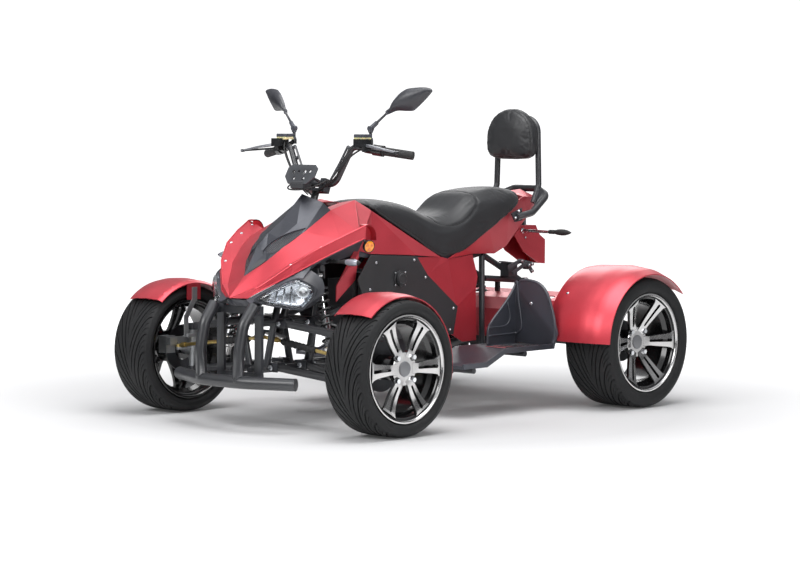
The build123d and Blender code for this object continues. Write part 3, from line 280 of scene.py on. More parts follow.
def finish(name, colours, grain_mm, rough, bump_mm=0.0, cloud_mm=90, edge_wear_and_highlight=None, **shader):
    material = bpy.data.materials.new(name)
    tree = empty_tree(material)
    where = add(tree, "TexCoord").outputs["Object"]
    cloud, grain = (add(tree, "TexNoise", {"Vector": where, "Scale": 1000 / size,
                                           "Detail": detail}).outputs["Fac"]
                    for size, detail in ((cloud_mm, 3.0), (grain_mm, 2.0)))
    blended = add(tree, "Math", {0: cloud, 1: grain}, operation="ADD").outputs[0]
    share = add(tree, "MapRange", {"Value": blended, **BLEND}).outputs[0]
    colour = add(tree, "Mix", {0: share, 6: linear(colours[0]), 7: linear(colours[1])},
                 data_type="RGBA").outputs[2]
    # Convex edges are lightened: partly edge wear, partly a painted highlight.
    if edge_wear_and_highlight:
        edge = add(tree, "MapRange", {
            "Value": add(tree, "NewGeometry").outputs["Pointiness"], **EDGE_WEAR_AND_HIGHLIGHT})
        colour = add(tree, "Mix", {0: edge.outputs[0], 6: colour, 7: linear(edge_wear_and_highlight)},
                     data_type="RGBA").outputs[2]
    roughness = add(tree, "MapRange", {"Value": blended, **BLEND, "To Min": rough[0],
                                       "To Max": rough[1]}).outputs[0]
    sockets = {"Base Color": colour, "Roughness": roughness}
    if bump_mm:
        sockets["Normal"] = add(tree, "Bump", {"Height": grain, "Distance": bump_mm / 1000,
                                               "Strength": 1.0}).outputs[0]
    sockets.update({key.replace("_", " "): value for key, value in shader.items()})
    add(tree, "OutputMaterial", {"Surface": add(tree, "BsdfPrincipled", sockets).outputs[0]})
    return material


def coat(weight, roughness):
    return {"Coat_Weight": weight, "Coat_Roughness": roughness}


# %% [markdown]
# The body panels are moulded ABS with a satin metallic red lacquer: bright where they face the
# lamp and nearly maroon where they turn away, because the flakes lie flat under a clear coat. The
# flake is really about 0.05 mm; it is drawn at 1.5 mm so that it shows at all.

# %% Lacquers and plastics
red_lacquer = finish("satin_metallic_red_lacquer_on_abs", ("#B2303C", "#C03945"), 1.5,
                     (0.36, 0.44), 0.01, Metallic=0.6, **coat(0.35, 0.34))
grey_lacquer = finish("satin_metallic_grey_lacquer_on_abs", ("#25272E", "#2D2F37"), 1.5,
                      (0.36, 0.44), 0.01, Metallic=0.5, **coat(0.2, 0.3))
grained_plastic = finish("moulded_grained_polypropylene", ("#1A1B1D", "#212225"), 1.2,
                         (0.48, 0.6), 0.06, edge_wear_and_highlight="#2C2D30")
smooth_plastic = finish("moulded_smooth_abs", ("#141517", "#191A1C"), 2.0, (0.24, 0.32), 0.01)
powder_coat = finish("black_powder_coated_steel", ("#1C1D20", "#232428"), 1.6, (0.34, 0.44),
                     0.03, edge_wear_and_highlight="#34363A", **coat(0.15, 0.3))
black_gloss = finish("black_lacquer_in_wheel_pockets", ("#0B0B0C", "#101011"), 2.0,
                     (0.16, 0.22), **coat(0.4, 0.08))
# The footrest's bluish-grey edge colour is a painted highlight on its rims, with some edge wear.
board_plastic = finish("moulded_satin_footrest_plastic", ("#24262C", "#2E3038"), 1.2,
                       (0.36, 0.48), 0.04, edge_wear_and_highlight="#4A4D56", **coat(0.15, 0.35))
satin_black = finish("satin_black_moulded_abs", ("#212227", "#292A30"), 1.8, (0.36, 0.46), 0.02,
                     edge_wear_and_highlight="#3C3E46", **coat(0.15, 0.35))
pale_nylon = finish("translucent_nylon_reservoir", ("#C9BC8A", "#D6CBA0"), 4.0, (0.3, 0.4), 0.02,
                    Subsurface_Weight=0.2, Subsurface_Scale=0.01)

# %% [markdown]
# Metals keep the renderer's default IOR. A turned face has fine rings that spread the highlight;
# a casting is duller and grained; zinc plate is faintly yellow; chrome is nearly a mirror.

# %% Metals


def metal(*recipe, share=1.0):
    return finish(*recipe, Metallic=share)


turned_aluminium = metal("turned_aluminium", ("#B6B5B5", "#C9C8C8"), 1.0, (0.16, 0.25), 0.01)
cast_aluminium = metal("sand_cast_aluminium", ("#8B8D90", "#A2A4A6"), 1.4, (0.42, 0.58), 0.08,
                       share=0.9)
satin_aluminium = metal("anodised_lever_aluminium", ("#9A9CA2", "#ABADB3"), 1.4, (0.34, 0.44),
                        0.02, share=0.9)
dark_cast = finish("dark_painted_casting", ("#26272A", "#303135"), 1.6, (0.44, 0.56), 0.06,
                   edge_wear_and_highlight="#46484C", Metallic=0.3)
yellow_zinc = metal("yellow_zinc_plated_steel", ("#A88F52", "#C2AC72"), 8, (0.3, 0.42))
bright_zinc = metal("bright_zinc_plated_steel", ("#B4B8BC", "#CFD2D6"), 5, (0.22, 0.34))
chrome = metal("chrome_plated_steel", ("#DCDEE2", "#E6E8EA"), 30, (0.06, 0.12))
# The brake disc's dark grey, far below bare ground steel, is painted shade for the hollow behind
# the spokes.
disc_steel_in_painted_shade = metal("ground_disc_steel", ("#3C3D40", "#4A4B4E"), 1.0, (0.34, 0.44), 0.01)
spring_steel = finish("black_lacquered_spring_steel", ("#131415", "#1B1C1E"), 2.0, (0.26, 0.34))
silvered = metal("silvered_lamp_reflector", ("#A9ADB4", "#C9CDD3"), 12, (0.2, 0.3))
mirror_glass = metal("silvered_mirror_glass", ("#C6CCD2", "#D2D8DC"), 60, (0.02, 0.03))

# %% Rubber, vinyl and lamp lenses
tyre_rubber = finish("moulded_tyre_rubber", ("#0A0A0C", "#101113"), 3.0, (0.64, 0.8), 0.05,
                     Specular_IOR_Level=0.36)
grip_rubber = finish("moulded_grip_rubber", ("#141415", "#1B1B1C"), 1.2, (0.66, 0.8), 0.06)
seat_vinyl = finish("stitched_vinyl_on_foam", ("#111215", "#18191C"), 1.8, (0.46, 0.58), 0.09,
                    cloud_mm=60, Sheen_Weight=0.06, Sheen_Roughness=0.4)
seam_thread = finish("seam_piping", ("#0E0E0F", "#141415"), 1.0, (0.6, 0.7), 0.05)
amber_lens = finish("moulded_amber_reflector", ("#F08F16", "#FFAE30"), 3.0, (0.12, 0.2), 0.1,
                    Transmission_Weight=0.1, **coat(0.6, 0.05))
amber_deep = finish("moulded_amber_sectors", ("#CF6A0C", "#E07C14"), 2.0, (0.14, 0.22), 0.15,
                    **coat(0.6, 0.05))
smoked_lens = finish("moulded_pale_smoked_lens", ("#84868F", "#9C9FA8"), 3.0, (0.1, 0.18), 0.2,
                     Metallic=0.3, **coat(0.8, 0.04))
opal_bulb = finish("opal_bulb_glass", ("#F4F5F7", "#FFFFFF"), 4.0, (0.1, 0.16), **coat(0.8, 0.04))
red_lens = finish("moulded_red_lens", ("#8E0A10", "#AB1218"), 3.0, (0.12, 0.2), 0.2,
                  **coat(0.6, 0.05))
clear_lens = finish("clear_polycarbonate_lens", ("#F1F5F8", "#FFFFFF"), 6.0, (0.0, 0.02),
                    Transmission_Weight=1.0, IOR=1.12, **coat(0.7, 0.03))
cap_grey = finish("satin_grey_wheel_cap", ("#6E6F72", "#77787B"), 2.0, (0.4, 0.5), Metallic=0.4)

# %% [markdown]
# ## Making pieces
# A piece is a mesh, the body that carries it and the CAD node it stands for, if any. Where the CAD
# shape is right, its mesh is copied, flat neighbours are joined and the edges get a small round,
# which is what makes a fold in a real panel catch the light.

# %% Helpers for meshes
PLAIN_ROUND_DEG = 28.0


def to_mesh(name, work, sharp_deg=32):
    bmesh.ops.recalc_face_normals(work, faces=work.faces)
    for face in work.faces:
        face.smooth = True
    mesh = bpy.data.meshes.new(name)
    work.to_mesh(mesh)
    work.free()
    mesh.set_sharp_from_angle(angle=math.radians(sharp_deg))
    return mesh


def slot_of(node):
    return next(p["material_slot"] for p in frame["record"]["subparts"] if p["node"] == node)


def piece(name, shape, body, *materials, sharp=32, node=None, slot=None):
    """Places a mesh, or a bmesh that becomes one, on a body; it may stand for a CAD node."""
    slot, replaces = (slot_of(node), [node]) if node else (slot, [])
    mesh = shape if isinstance(shape, bpy.types.Mesh) else to_mesh(name, shape, sharp)
    item = link(bpy.data.objects.new(name, mesh))
    for material in materials:
        mesh.materials.append(material)
    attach(item, body)
    if replaces:
        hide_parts(*replaces)
    return item


def rounded(item, width_mm, angle_deg):
    bevel = item.modifiers.new("rounded_edges", "BEVEL")
    bevel.width, bevel.segments = width_mm / 1000, 2
    bevel.limit_method, bevel.angle_limit = "ANGLE", math.radians(angle_deg)
    bevel.harden_normals = True


def dressed(node, material, round_mm=0.0, sharp_deg=32, flat_deg=0.4):
    """A copy of a CAD node's mesh with its flat neighbours joined, and rounded edges."""
    work = bmesh.new()
    work.from_mesh(nodes[node].data)
    bmesh.ops.remove_doubles(work, verts=work.verts, dist=2e-6)
    bmesh.ops.dissolve_limit(work, angle_limit=math.radians(flat_deg), verts=work.verts,
                             edges=work.edges)
    mesh = to_mesh(node + "_finish", work, sharp_deg)
    mesh.materials.clear()
    item = piece(node + "_finish", mesh, body_of[node], material, node=node)
    if round_mm:
        rounded(item, round_mm, min(PLAIN_ROUND_DEG, sharp_deg * 0.9))
    return item


def loft(work, sections, capped=True, looped=False):
    """Joins closed rows of places that have the same count, and the last to the first if looped."""
    rows = [[work.verts.new(p) for p in section] for section in sections]
    for a, b in zip(rows, rows[1:] + (rows[:1] if looped else [])):
        for j in range(len(a)):
            k = (j + 1) % len(a)
            work.faces.new((a[j], a[k], b[k], b[j]))
    if capped and not looped:
        work.faces.new(list(reversed(rows[0])))
        work.faces.new(rows[-1])
    return rows


def lathe(work, profile, steps, shades=(), centre=Vector()):
    """Turns radius and axial pairs, in mm, about a line along Y; a shade is a row's material."""
    rings = [[work.verts.new(centre + Vector((r * c, y, r * s)) / 1000) for r, y in profile]
             for c, s in circle(steps)]
    for a, b in zip(rings, rings[1:] + rings[:1]):
        for j in range(len(profile) - 1):
            made = work.faces.new((a[j], a[j + 1], b[j + 1], b[j]))
            made.material_index = shades[j] if j < len(shades) else 0


def stood_at(place, direction):
    """The transform that stands a shape on a place, with its Z along a direction."""
    turned = Vector(direction).to_track_quat("Z", "Y").to_matrix().to_4x4()
    return Matrix.Translation(place) @ turned


def turned_about(work, profile, start, direction, steps=24, shade=0):
    """Turns radius and distance pairs, in mm, about a line that starts at a place."""
    stand = stood_at(start, direction)
    rings = [[work.verts.new(stand @ (Vector((r * c, r * s, d)) / 1000)) for r, d in profile]
             for c, s in circle(steps)]
    for a, b in zip(rings, rings[1:] + rings[:1]):
        for j in range(len(profile) - 1):
            work.faces.new((a[j], b[j], b[j + 1], a[j + 1])).material_index = shade
    return rings


def tube(points, radius, order=3):
    """A round bar or hose along a smooth line."""
    curve = bpy.data.curves.new("tube", "CURVE")
    curve.dimensions = "3D"
    curve.bevel_depth, curve.bevel_resolution, curve.use_fill_caps = radius, 3, True
    line = curve.splines.new("NURBS")
    line.points.add(len(points) - 1)
    for spot, p in zip(line.points, points):
        spot.co = (*p, 1)
    line.order_u, line.use_endpoint_u, line.resolution_u = order, True, 8
    holder = link(bpy.data.objects.new("tube_line", curve))
    bpy.context.view_layer.update()
    mesh = evaluated(holder)
    bpy.data.objects.remove(holder)
    for face in mesh.polygons:
        face.use_smooth = True
    return mesh


def evaluated(item):
    """The mesh that an object's modifiers leave."""
    depsgraph = bpy.context.evaluated_depsgraph_get()
    return bpy.data.meshes.new_from_object(item.evaluated_get(depsgraph))


def joined(name, meshes):
    work = bmesh.new()
    for mesh in meshes:
        work.from_mesh(mesh)
    mesh = bpy.data.meshes.new(name)
    work.to_mesh(mesh)
    work.free()
    mesh.set_sharp_from_angle(angle=math.radians(40))
    return mesh


def wound_wire(work, start, direction, radius_mm, wire_mm, length_mm, turns):
    """A coil of round wire."""
    stand, steps = stood_at(start, direction), turns * 22
    rows = []
    for i in range(steps + 1):
        a = 2 * math.pi * turns * i / steps
        out = Vector((math.cos(a), math.sin(a), 0))
        middle = out * radius_mm + Vector((0, 0, length_mm * i / steps))
        rows.append([stand @ ((middle + (out * c + Vector((0, 0, s))) * wire_mm) / 1000)
                     for c, s in circle(8)])
    loft(work, rows)


OFF_AXIS = Vector((0.31, 0.17, 0.93))  # a direction that no closed line here runs along


def ring_of(work, line, radius, sides=8):
    """A round bead along a closed line."""
    rows = []
    for i, place in enumerate(line):
        along = (line[(i + 1) % len(line)] - line[i - 1]).normalized()
        across = along.cross(OFF_AXIS).normalized()
        other = along.cross(across)
        rows.append([place + (across * c + other * s) * radius for c, s in circle(sides)])
    loft(work, rows, looped=True)


def wire(work, line, radius):
    """A round wire along an open line."""
    rows, first = [], None
    for i, place in enumerate(line):
        along = (line[min(i + 1, len(line) - 1)] - line[max(i - 1, 0)]).normalized()
        across = along.orthogonal() if first is None else first - along * first.dot(along)
        first = across.normalized()
        other = along.cross(first)
        rows.append([place + (first * c + other * s) * radius for c, s in circle(6)])
    loft(work, rows)


def ribbon(work, side, pairs, shift):
    """A strip between two edges, as thick as a shift."""
    none, shift = Vector(), Vector(shift)
    loft(work, [puts(side, [Vector(p) + move for p, move in (
        (a, none), (b, none), (b, shift), (a, shift))]) for a, b in pairs])


def tree_of(*meshes):
    """A search tree over meshes, to set small parts down on them."""
    work = bmesh.new()
    for mesh in meshes:
        work.from_mesh(mesh)
    tree = BVHTree.FromBMesh(work)
    work.free()
    return tree


def cut_away(item, cutter):
    """Takes a cutter's mesh away from a piece, which keeps its materials."""
    tool = link(bpy.data.objects.new("cutter", cutter))
    step = item.modifiers.new("cut", "BOOLEAN")
    step.operation, step.object, step.solver = "DIFFERENCE", tool, "EXACT"
    with_cut = evaluated(item)
    item.modifiers.remove(step)
    old, item.data = item.data, with_cut
    bpy.data.objects.remove(tool)
    bpy.data.meshes.remove(old)
    with_cut.set_sharp_from_angle(angle=math.radians(FOLD_DEG))


# %% [markdown]
# ## Fasteners
# Button-head screws with a hexagon socket hold the panels, and hexagon nuts hold the wheels and
# arms. They are far too small for the CAD, but they give the eye the size of everything else.

# %% Screws and nuts
SCREW = [(1, 0.25), (0.86, 0.7), (0.62, 1), (0.42, 1), (0.36, 0.45)]
NUT = [(1, 0.8), (0.88, 1), (0.5, 1)]


def screws(name, body, spots, radius_mm, material=bright_zinc, nuts=False, height_mm=3.2):
    """Screws or nuts at pairs of a place and an outward direction."""
    shape, steps, sunk, wide = ((NUT, 6, 0.5, radius_mm / math.cos(math.pi / 6)) if nuts
                                else (SCREW, 18, 0.6, radius_mm))
    profile = [(wide, -sunk)] + [(wide * a, height_mm * b) for a, b in shape]
    work = bmesh.new()
    for place, direction in spots:
        rings = turned_about(work, profile, place, direction, steps)
        work.faces.new([ring[-1] for ring in rings])
    piece(name, work, body, material, sharp=35)


# %% [markdown]
# ## Tyres
# A road tyre's grooves sweep from the shoulder towards the middle until they run almost along the
# tread. The mesh's columns follow those sweeps, so that each groove has clean walls, and short
# cuts cross the shoulder between two grooves. The sidewall has a rim rib and stays bare.

# %% The tyres
TYRES = {  # radius, width, rim width, pitches round the tread, sweep of a groove, all in mm
    "front": (246, 200, 175, 22, 235),
    "rear": (258, 240, 211, 23, 275),
}
WHEEL_PLACES = {"front": at(685, 567.5, 246), "rear": at(-685, 574.5, 258)}
GROOVE_MM, GROOVE_DEPTH_MM, CUT_MM, CUT_DEPTH_MM = 2.9, 5.5, 1.7, 3.4
SWEEP_POWER, TREAD_MIDDLE_MM = 1.7, 5.0
BEAD_SEAT_MM, BEAD_RIB_MM = 178.4, 194.4


def on_wheel(work, kind, side):
    """Moves a left-hand shape that was made about the origin onto its wheel."""
    place = mirrored(WHEEL_PLACES[kind], side)
    for vertex in work.verts:
        vertex.co = mirrored(vertex.co, side) + place
    return work


def tyre_section(radius, half, bead):
    """The tyre's section from one bead to the other, as radius and axial pairs."""
    wall = spline([(BEAD_SEAT_MM, bead - 22), (BEAD_SEAT_MM, bead), (BEAD_RIB_MM, bead),
                   (204, half - 7), ((194 + radius) / 2 - 4, half - 0.6),
                   (radius - 22, half - 2.2), (radius - 10, half - 9)], 4)[3:]
    crown = spline([(radius - 10, half - 9), (radius - 4.5, half - 18), (radius - 1.6, half - 34),
                    (radius - 0.3, half * 0.4), (radius, 0)], 7)[1:]
    lines = wall + crown
    lines += [(r, -y) for r, y in reversed(lines[:-1])]
    lines[0], lines[-1] = (BEAD_SEAT_MM, bead - 22), (BEAD_SEAT_MM, 22 - bead)
    return lines


def tyre(kind):
    radius, width, rim_w, pitches, sweep = TYRES[kind]
    half = width / 2
    pitch = 2 * math.pi / pitches
    shoulder, middle = half - 14, TREAD_MIDDLE_MM
    rows = []
    for r, y in tyre_section(radius, half, rim_w / 2 - 8.3):
        share = (shoulder - clamped(abs(y), middle, shoulder)) / (shoulder - middle)
        shear = sweep * share ** SWEEP_POWER / radius
        lean = sweep * SWEEP_POWER * share ** (SWEEP_POWER - 1) / (shoulder - middle)
        groove = min(GROOVE_MM * math.sqrt(1 + lean * lean) / radius, pitch * 0.16)
        cut = CUT_MM / radius
        on_tread = r > radius - 7 and abs(y) < shoulder + 2
        fade = clamped((abs(y) - middle) / 8) if on_tread else 0.0
        deep = GROOVE_DEPTH_MM * fade * clamped((shoulder + 2 - abs(y)) / 3)
        cut_deep = CUT_DEPTH_MM if on_tread and half - 46 < abs(y) < half - 15 else 0.0
        columns = [(-groove, 0), (-groove * 0.62, deep), (groove * 0.62, deep), (groove, 0)]
        span = pitch - 2 * groove
        for third in (1 / 3, 2 / 3):
            base = groove + span * third
            columns += [(base - cut, 0), (base - cut * 0.5, cut_deep),
                        (base + cut * 0.5, cut_deep), (base + cut, 0)]
        columns.append((groove + span * 0.86, 0))
        turns = [(-(k * pitch + shear + offset), r - depth)
                 for k in range(pitches) for offset, depth in columns]
        rows.append([Vector((q * math.cos(a), y, q * math.sin(a))) / 1000 for a, q in turns])
    work = bmesh.new()
    loft(work, rows, looped=True)
    return work


for end in TYRES:
    for side_name, side in SIDES.items():
        node = f"{end}_tyre_{side_name}"
        rubber = piece(node + "_rubber", on_wheel(tyre(end), end, side), body_of[node],
                       tyre_rubber, sharp=38, node=node)
    print(end, "tyre faces", len(rubber.data.polygons))

# %% [markdown]
# ## Rims
# Each of the six spokes is a broad bar with a long slot. The wheel was lacquered black all over
# and then turned on a lathe, so the front faces and the lip are bare metal and every wall behind
# them stays black.

# %% The rims
RIMS = {  # width, dish of the spokes, hub's back, from the wheel's middle, in mm
    "front": (175, 10, -42.5),
    "rear": (211, 52, -18),
}
SPOKES = 6
SPOKE_OUTSIDE = [(40, 20), (52, 21), (62, 19), (75, 19.5), (95, 22), (120, 24.5), (145, 27),
                 (160, 29.5), (168, 33), (174, 40)]
SPOKE_STATIONS = [40, 48, 56, 64, 70, 71, 73, 76, 84, 95, 108, 120, 132, 145, 155, 162, 165, 167,
                  168, 171, 175]
SLOT_FROM, SLOT_TO, SLOT_HALF, SLOT_END = 70, 168, 5.4, 6
SPOKE_DEPTH, SPOKE_SAG, SPOKE_TILT = 15, 5.0, 1.5
DISH = [(42, 1.0), (75, 0.82), (115, 0.42), (174, 0.06)]
BARE = 1  # the turned metal's place in a rim's materials; the brake disc's is the next one


def between(table, x):
    for (x0, y0), (x1, y1) in zip(table, table[1:]):
        if x <= x1:
            return y0 + (y1 - y0) * max(0.0, (x - x0)) / (x1 - x0)
    return table[-1][1]


def slot_half(radius):
    if radius <= SLOT_FROM or radius >= SLOT_TO:
        return 0.0
    near = min(radius - SLOT_FROM, SLOT_TO - radius)
    wide = between([(SLOT_FROM, SLOT_HALF - 0.8), (SLOT_TO, SLOT_HALF + 1.2)], radius)
    return wide * math.sqrt(max(0.0, 1 - (1 - min(1.0, near / SLOT_END)) ** 2))


def spoke_sag(radius):
    """How far a spoke's face is hollowed along its length."""
    return SPOKE_SAG * math.sin(math.pi * clamped((radius - 60) / 112)) ** 2


def spoke(work, front, dish, angle):
    turn_it = Matrix.Rotation(angle, 4, "Y")
    for way in (-1, 1):
        rows = []
        for radius in SPOKE_STATIONS:
            face = front - dish * between(DISH, radius) - spoke_sag(radius)
            inner, outer = slot_half(radius) * way, between(SPOKE_OUTSIDE, radius) * way
            low = SPOKE_TILT * clamped((radius - 60) / 20)
            corners = [(inner, face), (outer - way * 1.6, face - low), (outer, face - 1.8 - low),
                       (outer - way * 1.5, face - SPOKE_DEPTH), (inner, face - SPOKE_DEPTH)]
            rows.append([work.verts.new(turn_it @ (Vector((a, b, radius)) / 1000))
                         for a, b in corners])
        for a, b, station in zip(rows, rows[1:], SPOKE_STATIONS[1:]):
            for j in range(4):
                made = work.faces.new((a[j], a[j + 1], b[j + 1], b[j]))
                made.material_index = 0 if j else BARE
            if SLOT_FROM < station <= SLOT_TO:
                work.faces.new((a[4], a[0], b[0], b[4]))


def rim(kind):
    width, dish, hub_back = RIMS[kind]
    lip = width / 2
    step, front, face = lip - 8, lip - 3, lip - 3 - dish
    outside = [(187.5, front), (189, lip), (193.9, lip), (194, lip - 2), (193.6, lip - 5),
               (184, lip - 7.2), (178, step - 1), (178, step - 26), (165, step - 42)]
    inside = [(187.5, front), (184.5, lip - 6), (174, step - 6), (172, step - 26),
              (159, step - 40)]
    work = bmesh.new()
    for path, bare_rows in ((outside, 4), (inside, 1)):
        lathe(work, path + [(r, -a) for r, a in reversed(path)], 128, [BARE] * bare_rows)
    for i in range(SPOKES):
        spoke(work, front, dish, 2 * math.pi / SPOKES * (i + 0.5))
    lathe(work, [(0, face + 0.2), (27, face + 0.2), (27.6, face - 0.4), (58, face - 0.4),
                 (60, face - 2), (60, face - 23), (45, face - 23), (45, hub_back),
                 (15.2, hub_back), (15.2, face - 12), (0.001, face - 12)], 72, [BARE] * 4)
    if kind == "front":
        lathe(work, [(46, hub_back + 5), (90, hub_back + 5), (90, hub_back), (46, hub_back)], 96,
              [BARE + 1] * 3)
    bmesh.ops.remove_doubles(work, verts=work.verts, dist=1e-5)
    return work


def wheel_fittings(end, side_name, side):
    """Centre cap, and lug nuts in dark seats."""
    width, dish, _ = RIMS[end]
    face = width / 2 - 3 - dish
    body = f"{end}_wheel_{side_name}"
    cap = bmesh.new()
    lathe(cap, [(0, face + 5.2), (22, face + 5), (26.2, face + 3.8), (27.8, face + 0.4),
                (27.8, face - 1)], 48)
    piece(f"{end}_cap_{side_name}", on_wheel(cap, end, side), body, cap_grey)
    seats, nuts = bmesh.new(), []
    for i in range(4):
        a = math.pi / 4 + math.pi / 2 * i
        spot = Vector((57.5 * math.cos(a), face, 57.5 * math.sin(a))) / 1000
        lathe(seats, [(14.5, 0.6), (14.5, 0.2), (11, 0.4), (0, 0.4)], 24, (), spot)
        nuts.append((mirrored(spot + WHEEL_PLACES[end], side), (0, side, 0)))
    piece(f"{end}_nut_seats_{side_name}", on_wheel(seats, end, side), body, black_gloss)
    screws(f"{end}_lug_nuts_{side_name}", body, nuts, 9, chrome, nuts=True, height_mm=11)


for end in RIMS:
    for side_name, side in SIDES.items():
        node = f"{end}_rim_{side_name}"
        cast = piece(node + "_cast", on_wheel(rim(end), end, side), body_of[node], black_gloss,
                     turned_aluminium, disc_steel_in_painted_shade, sharp=30, node=node)
        wheel_fittings(end, side_name, side)
    print(end, "rim faces", len(cast.data.polygons))

# %% [markdown]
# ## Body panels
# The panels are thin moulded sheets with flat facets and crisp folds, and the folds carry the
# look. The CAD meshes are copied, and a round of one to two millimetres along every fold makes the
# line of light that lacquered plastic shows.

# %% Panels
FOLD_DEG = 11
for node in ("nose_cowl", "tank_cover", "side_covers", "tail_cover", "plate_holder", "rear_deck"):
    dressed(node, red_lacquer, 1.6, sharp_deg=FOLD_DEG)
for side_name in SIDES:
    dressed(f"mudguard_{side_name}", red_lacquer, 1.2, flat_deg=0.1)
    dressed(f"rear_fender_{side_name}", red_lacquer, 1.2, flat_deg=0.1)
dressed("side_plates", grained_plastic, 1.6)
dressed("lamp_bridge", satin_black, 2.0)
hood = dressed("hood_panel", grey_lacquer, sharp_deg=FOLD_DEG)

# %% [markdown]
# The hood has a leaf-shaped opening on each side with a wire grille a little below it and a thin
# raised lip around it, and a narrow dark scoop at each side of the tip.

# %% Hood openings
VENT_UPPER = [(796, 30, 640), (770, 31, 665), (746, 42, 684.5), (719, 58, 701), (682, 72, 714.5),
              (653, 85, 722.5), (634, 92, 725)]
VENT_LOWER = [(796, 30, 640), (776, 53, 636), (756, 70, 646), (729, 81, 665), (700, 88, 683),
              (668, 92, 703), (634, 92, 725)]
VENT_OUT = Vector((0.6, 0.48, 0.64)).normalized()
SCOOP = [(845, 10, 572), (826, 17, 598), (809, 33, 612), (797, 48, 616), (801, 50, 608),
         (824, 32, 587)]
SCOOP_OUT = Vector((0.74, 0.5, 0.42))
GRILLE_WIRES, GRILLE_SLANT, GRILLE_DROP_MM = 32, 0.085, 2.5
GRILLE_WIRE_M, VENT_LIP_M = 0.0011, 0.0018  # radii
CUT_LEVELS, SCOOP_LEVELS = (-14, 12), (-3, 1)  # mm out of the hood


def vent_place(u, v, drop_mm, side):
    """A place in the opening: u runs from the front tip to the rear one, v from edge to edge."""
    step = min(int(u * 6), 5)
    low, high = (Vector(line[step]).lerp(Vector(line[step + 1]), u * 6 - step)
                 for line in (VENT_LOWER, VENT_UPPER))
    return put(side, low.lerp(high, v) - VENT_OUT * drop_mm)


def grille(side):
    work = bmesh.new()
    for slant in (GRILLE_SLANT, -GRILLE_SLANT):
        for k in range(-2, GRILLE_WIRES + 2):
            steps = [(v, (k + 0.5) / GRILLE_WIRES + slant * (v - 0.5))
                     for v in (step / 6 for step in range(7))]
            line = [vent_place(u, v, GRILLE_DROP_MM, side) for v, u in steps if 0.02 < u < 0.98]
            if len(line) > 2:
                wire(work, line, GRILLE_WIRE_M)
    return work


def opening_loop(side, out_mm):
    return puts(side, [Vector(p) + VENT_OUT * out_mm for p in VENT_UPPER + VENT_LOWER[-2:0:-1]])


for side_name, side in SIDES.items():
    prism, tray, lip, scoop = (bmesh.new() for _ in range(4))
    loft(prism, [opening_loop(side, out_mm) for out_mm in CUT_LEVELS])
    cut_away(hood, to_mesh("vent_cutter", prism))
    piece(f"hood_grille_{side_name}", grille(side), "chassis", satin_black)
    loft(tray, [[vent_place(u, v, drop, side) for v, drop in ((0, 10), (1, 10), (1, 11.5),
                                                              (0, 11.5))]
                for u in (0.03, 0.2, 0.4, 0.6, 0.8, 0.97)])
    piece(f"hood_tray_{side_name}", tray, "chassis", grained_plastic)
    ring_of(lip, spline(opening_loop(side, 0.4), 4, closed=True), VENT_LIP_M)
    piece(f"hood_vent_lip_{side_name}", lip, "chassis", grey_lacquer, sharp=60)
    loft(scoop, [puts(side, [Vector(p) + SCOOP_OUT * out for p in SCOOP])
                 for out in SCOOP_LEVELS])
    piece(f"hood_scoop_{side_name}", scoop, "chassis", grained_plastic)
rounded(hood, 1.6, FOLD_DEG * 0.9)
print("hood faces", len(hood.data.polygons))

# %% [markdown]
# Bright button-head screws follow the edge of the nose, the side plates and the fender's tabs.
# Their places come from the photograph and are set down on the nearest surface.

# %% Panel screws
PLATE_SCREWS = [(143, 594), (354, 591), (388, 491.5), (78, 525), (-84, 398), (-66, 314),
                (312, 314)]
SCREW_SETS = [  # name, node whose surface they sit on, places, radius in mm
    ("nose_screws", "nose_cowl",
     [(793, 173, 602), (704.5, 236.3, 672), (629, 258.3, 704), (549.8, 279.6, 733)], 6.0),
    ("side_plate_screws", "", [(x, 186, z) for x, z in PLATE_SCREWS], 5.6),
    ("fender_screw", "rear_fender_{}", [(-448, 452, 462)], 6.0),
    ("holder_screw", "", [(-677, 50, 651)], 5.2),
]
for side_name, side in SIDES.items():
    for name, skin, places, radius in SCREW_SETS:
        spots = [(p, (0, side, 0)) for p in puts(side, places)]
        if skin:
            tree = tree_of(nodes[skin.format(side_name)].data)
            spots = [tree.find_nearest(p)[:2] for p, _ in spots]
        screws(f"{name}_{side_name}", "chassis", spots, radius)

# %% Charging socket on the left plate
LEFT = (0, 1, 0)
SOCKET_FACE = at(226, 202, 526)
socket = bmesh.new()
turned_about(socket, [(0, -1), (22.5, -1), (22.5, 2.2), (20.5, 4), (17, 4.2), (16, 3), (7, 3.2),
                      (0, 3.6)], SOCKET_FACE, LEFT, 40)
turned_about(socket, [(0, -14), (33, -14), (33, -12), (31, -10.5), (27.2, -10.5)], SOCKET_FACE,
             LEFT, 8)
piece("charging_socket_lid", socket, "chassis", grained_plastic)
screws("charging_socket_screws", "chassis",
       [(at(x, 190, z), LEFT) for x, z in ((253, 549), (199, 549), (199, 503), (253, 503))], 3.4)

# %% [markdown]
# ## Footrests
# The heel guards have a thick rounded rim and two raised ridges that run from the guard round on
# to the board's inner wall. Bright inserts on the board keep a boot from slipping.

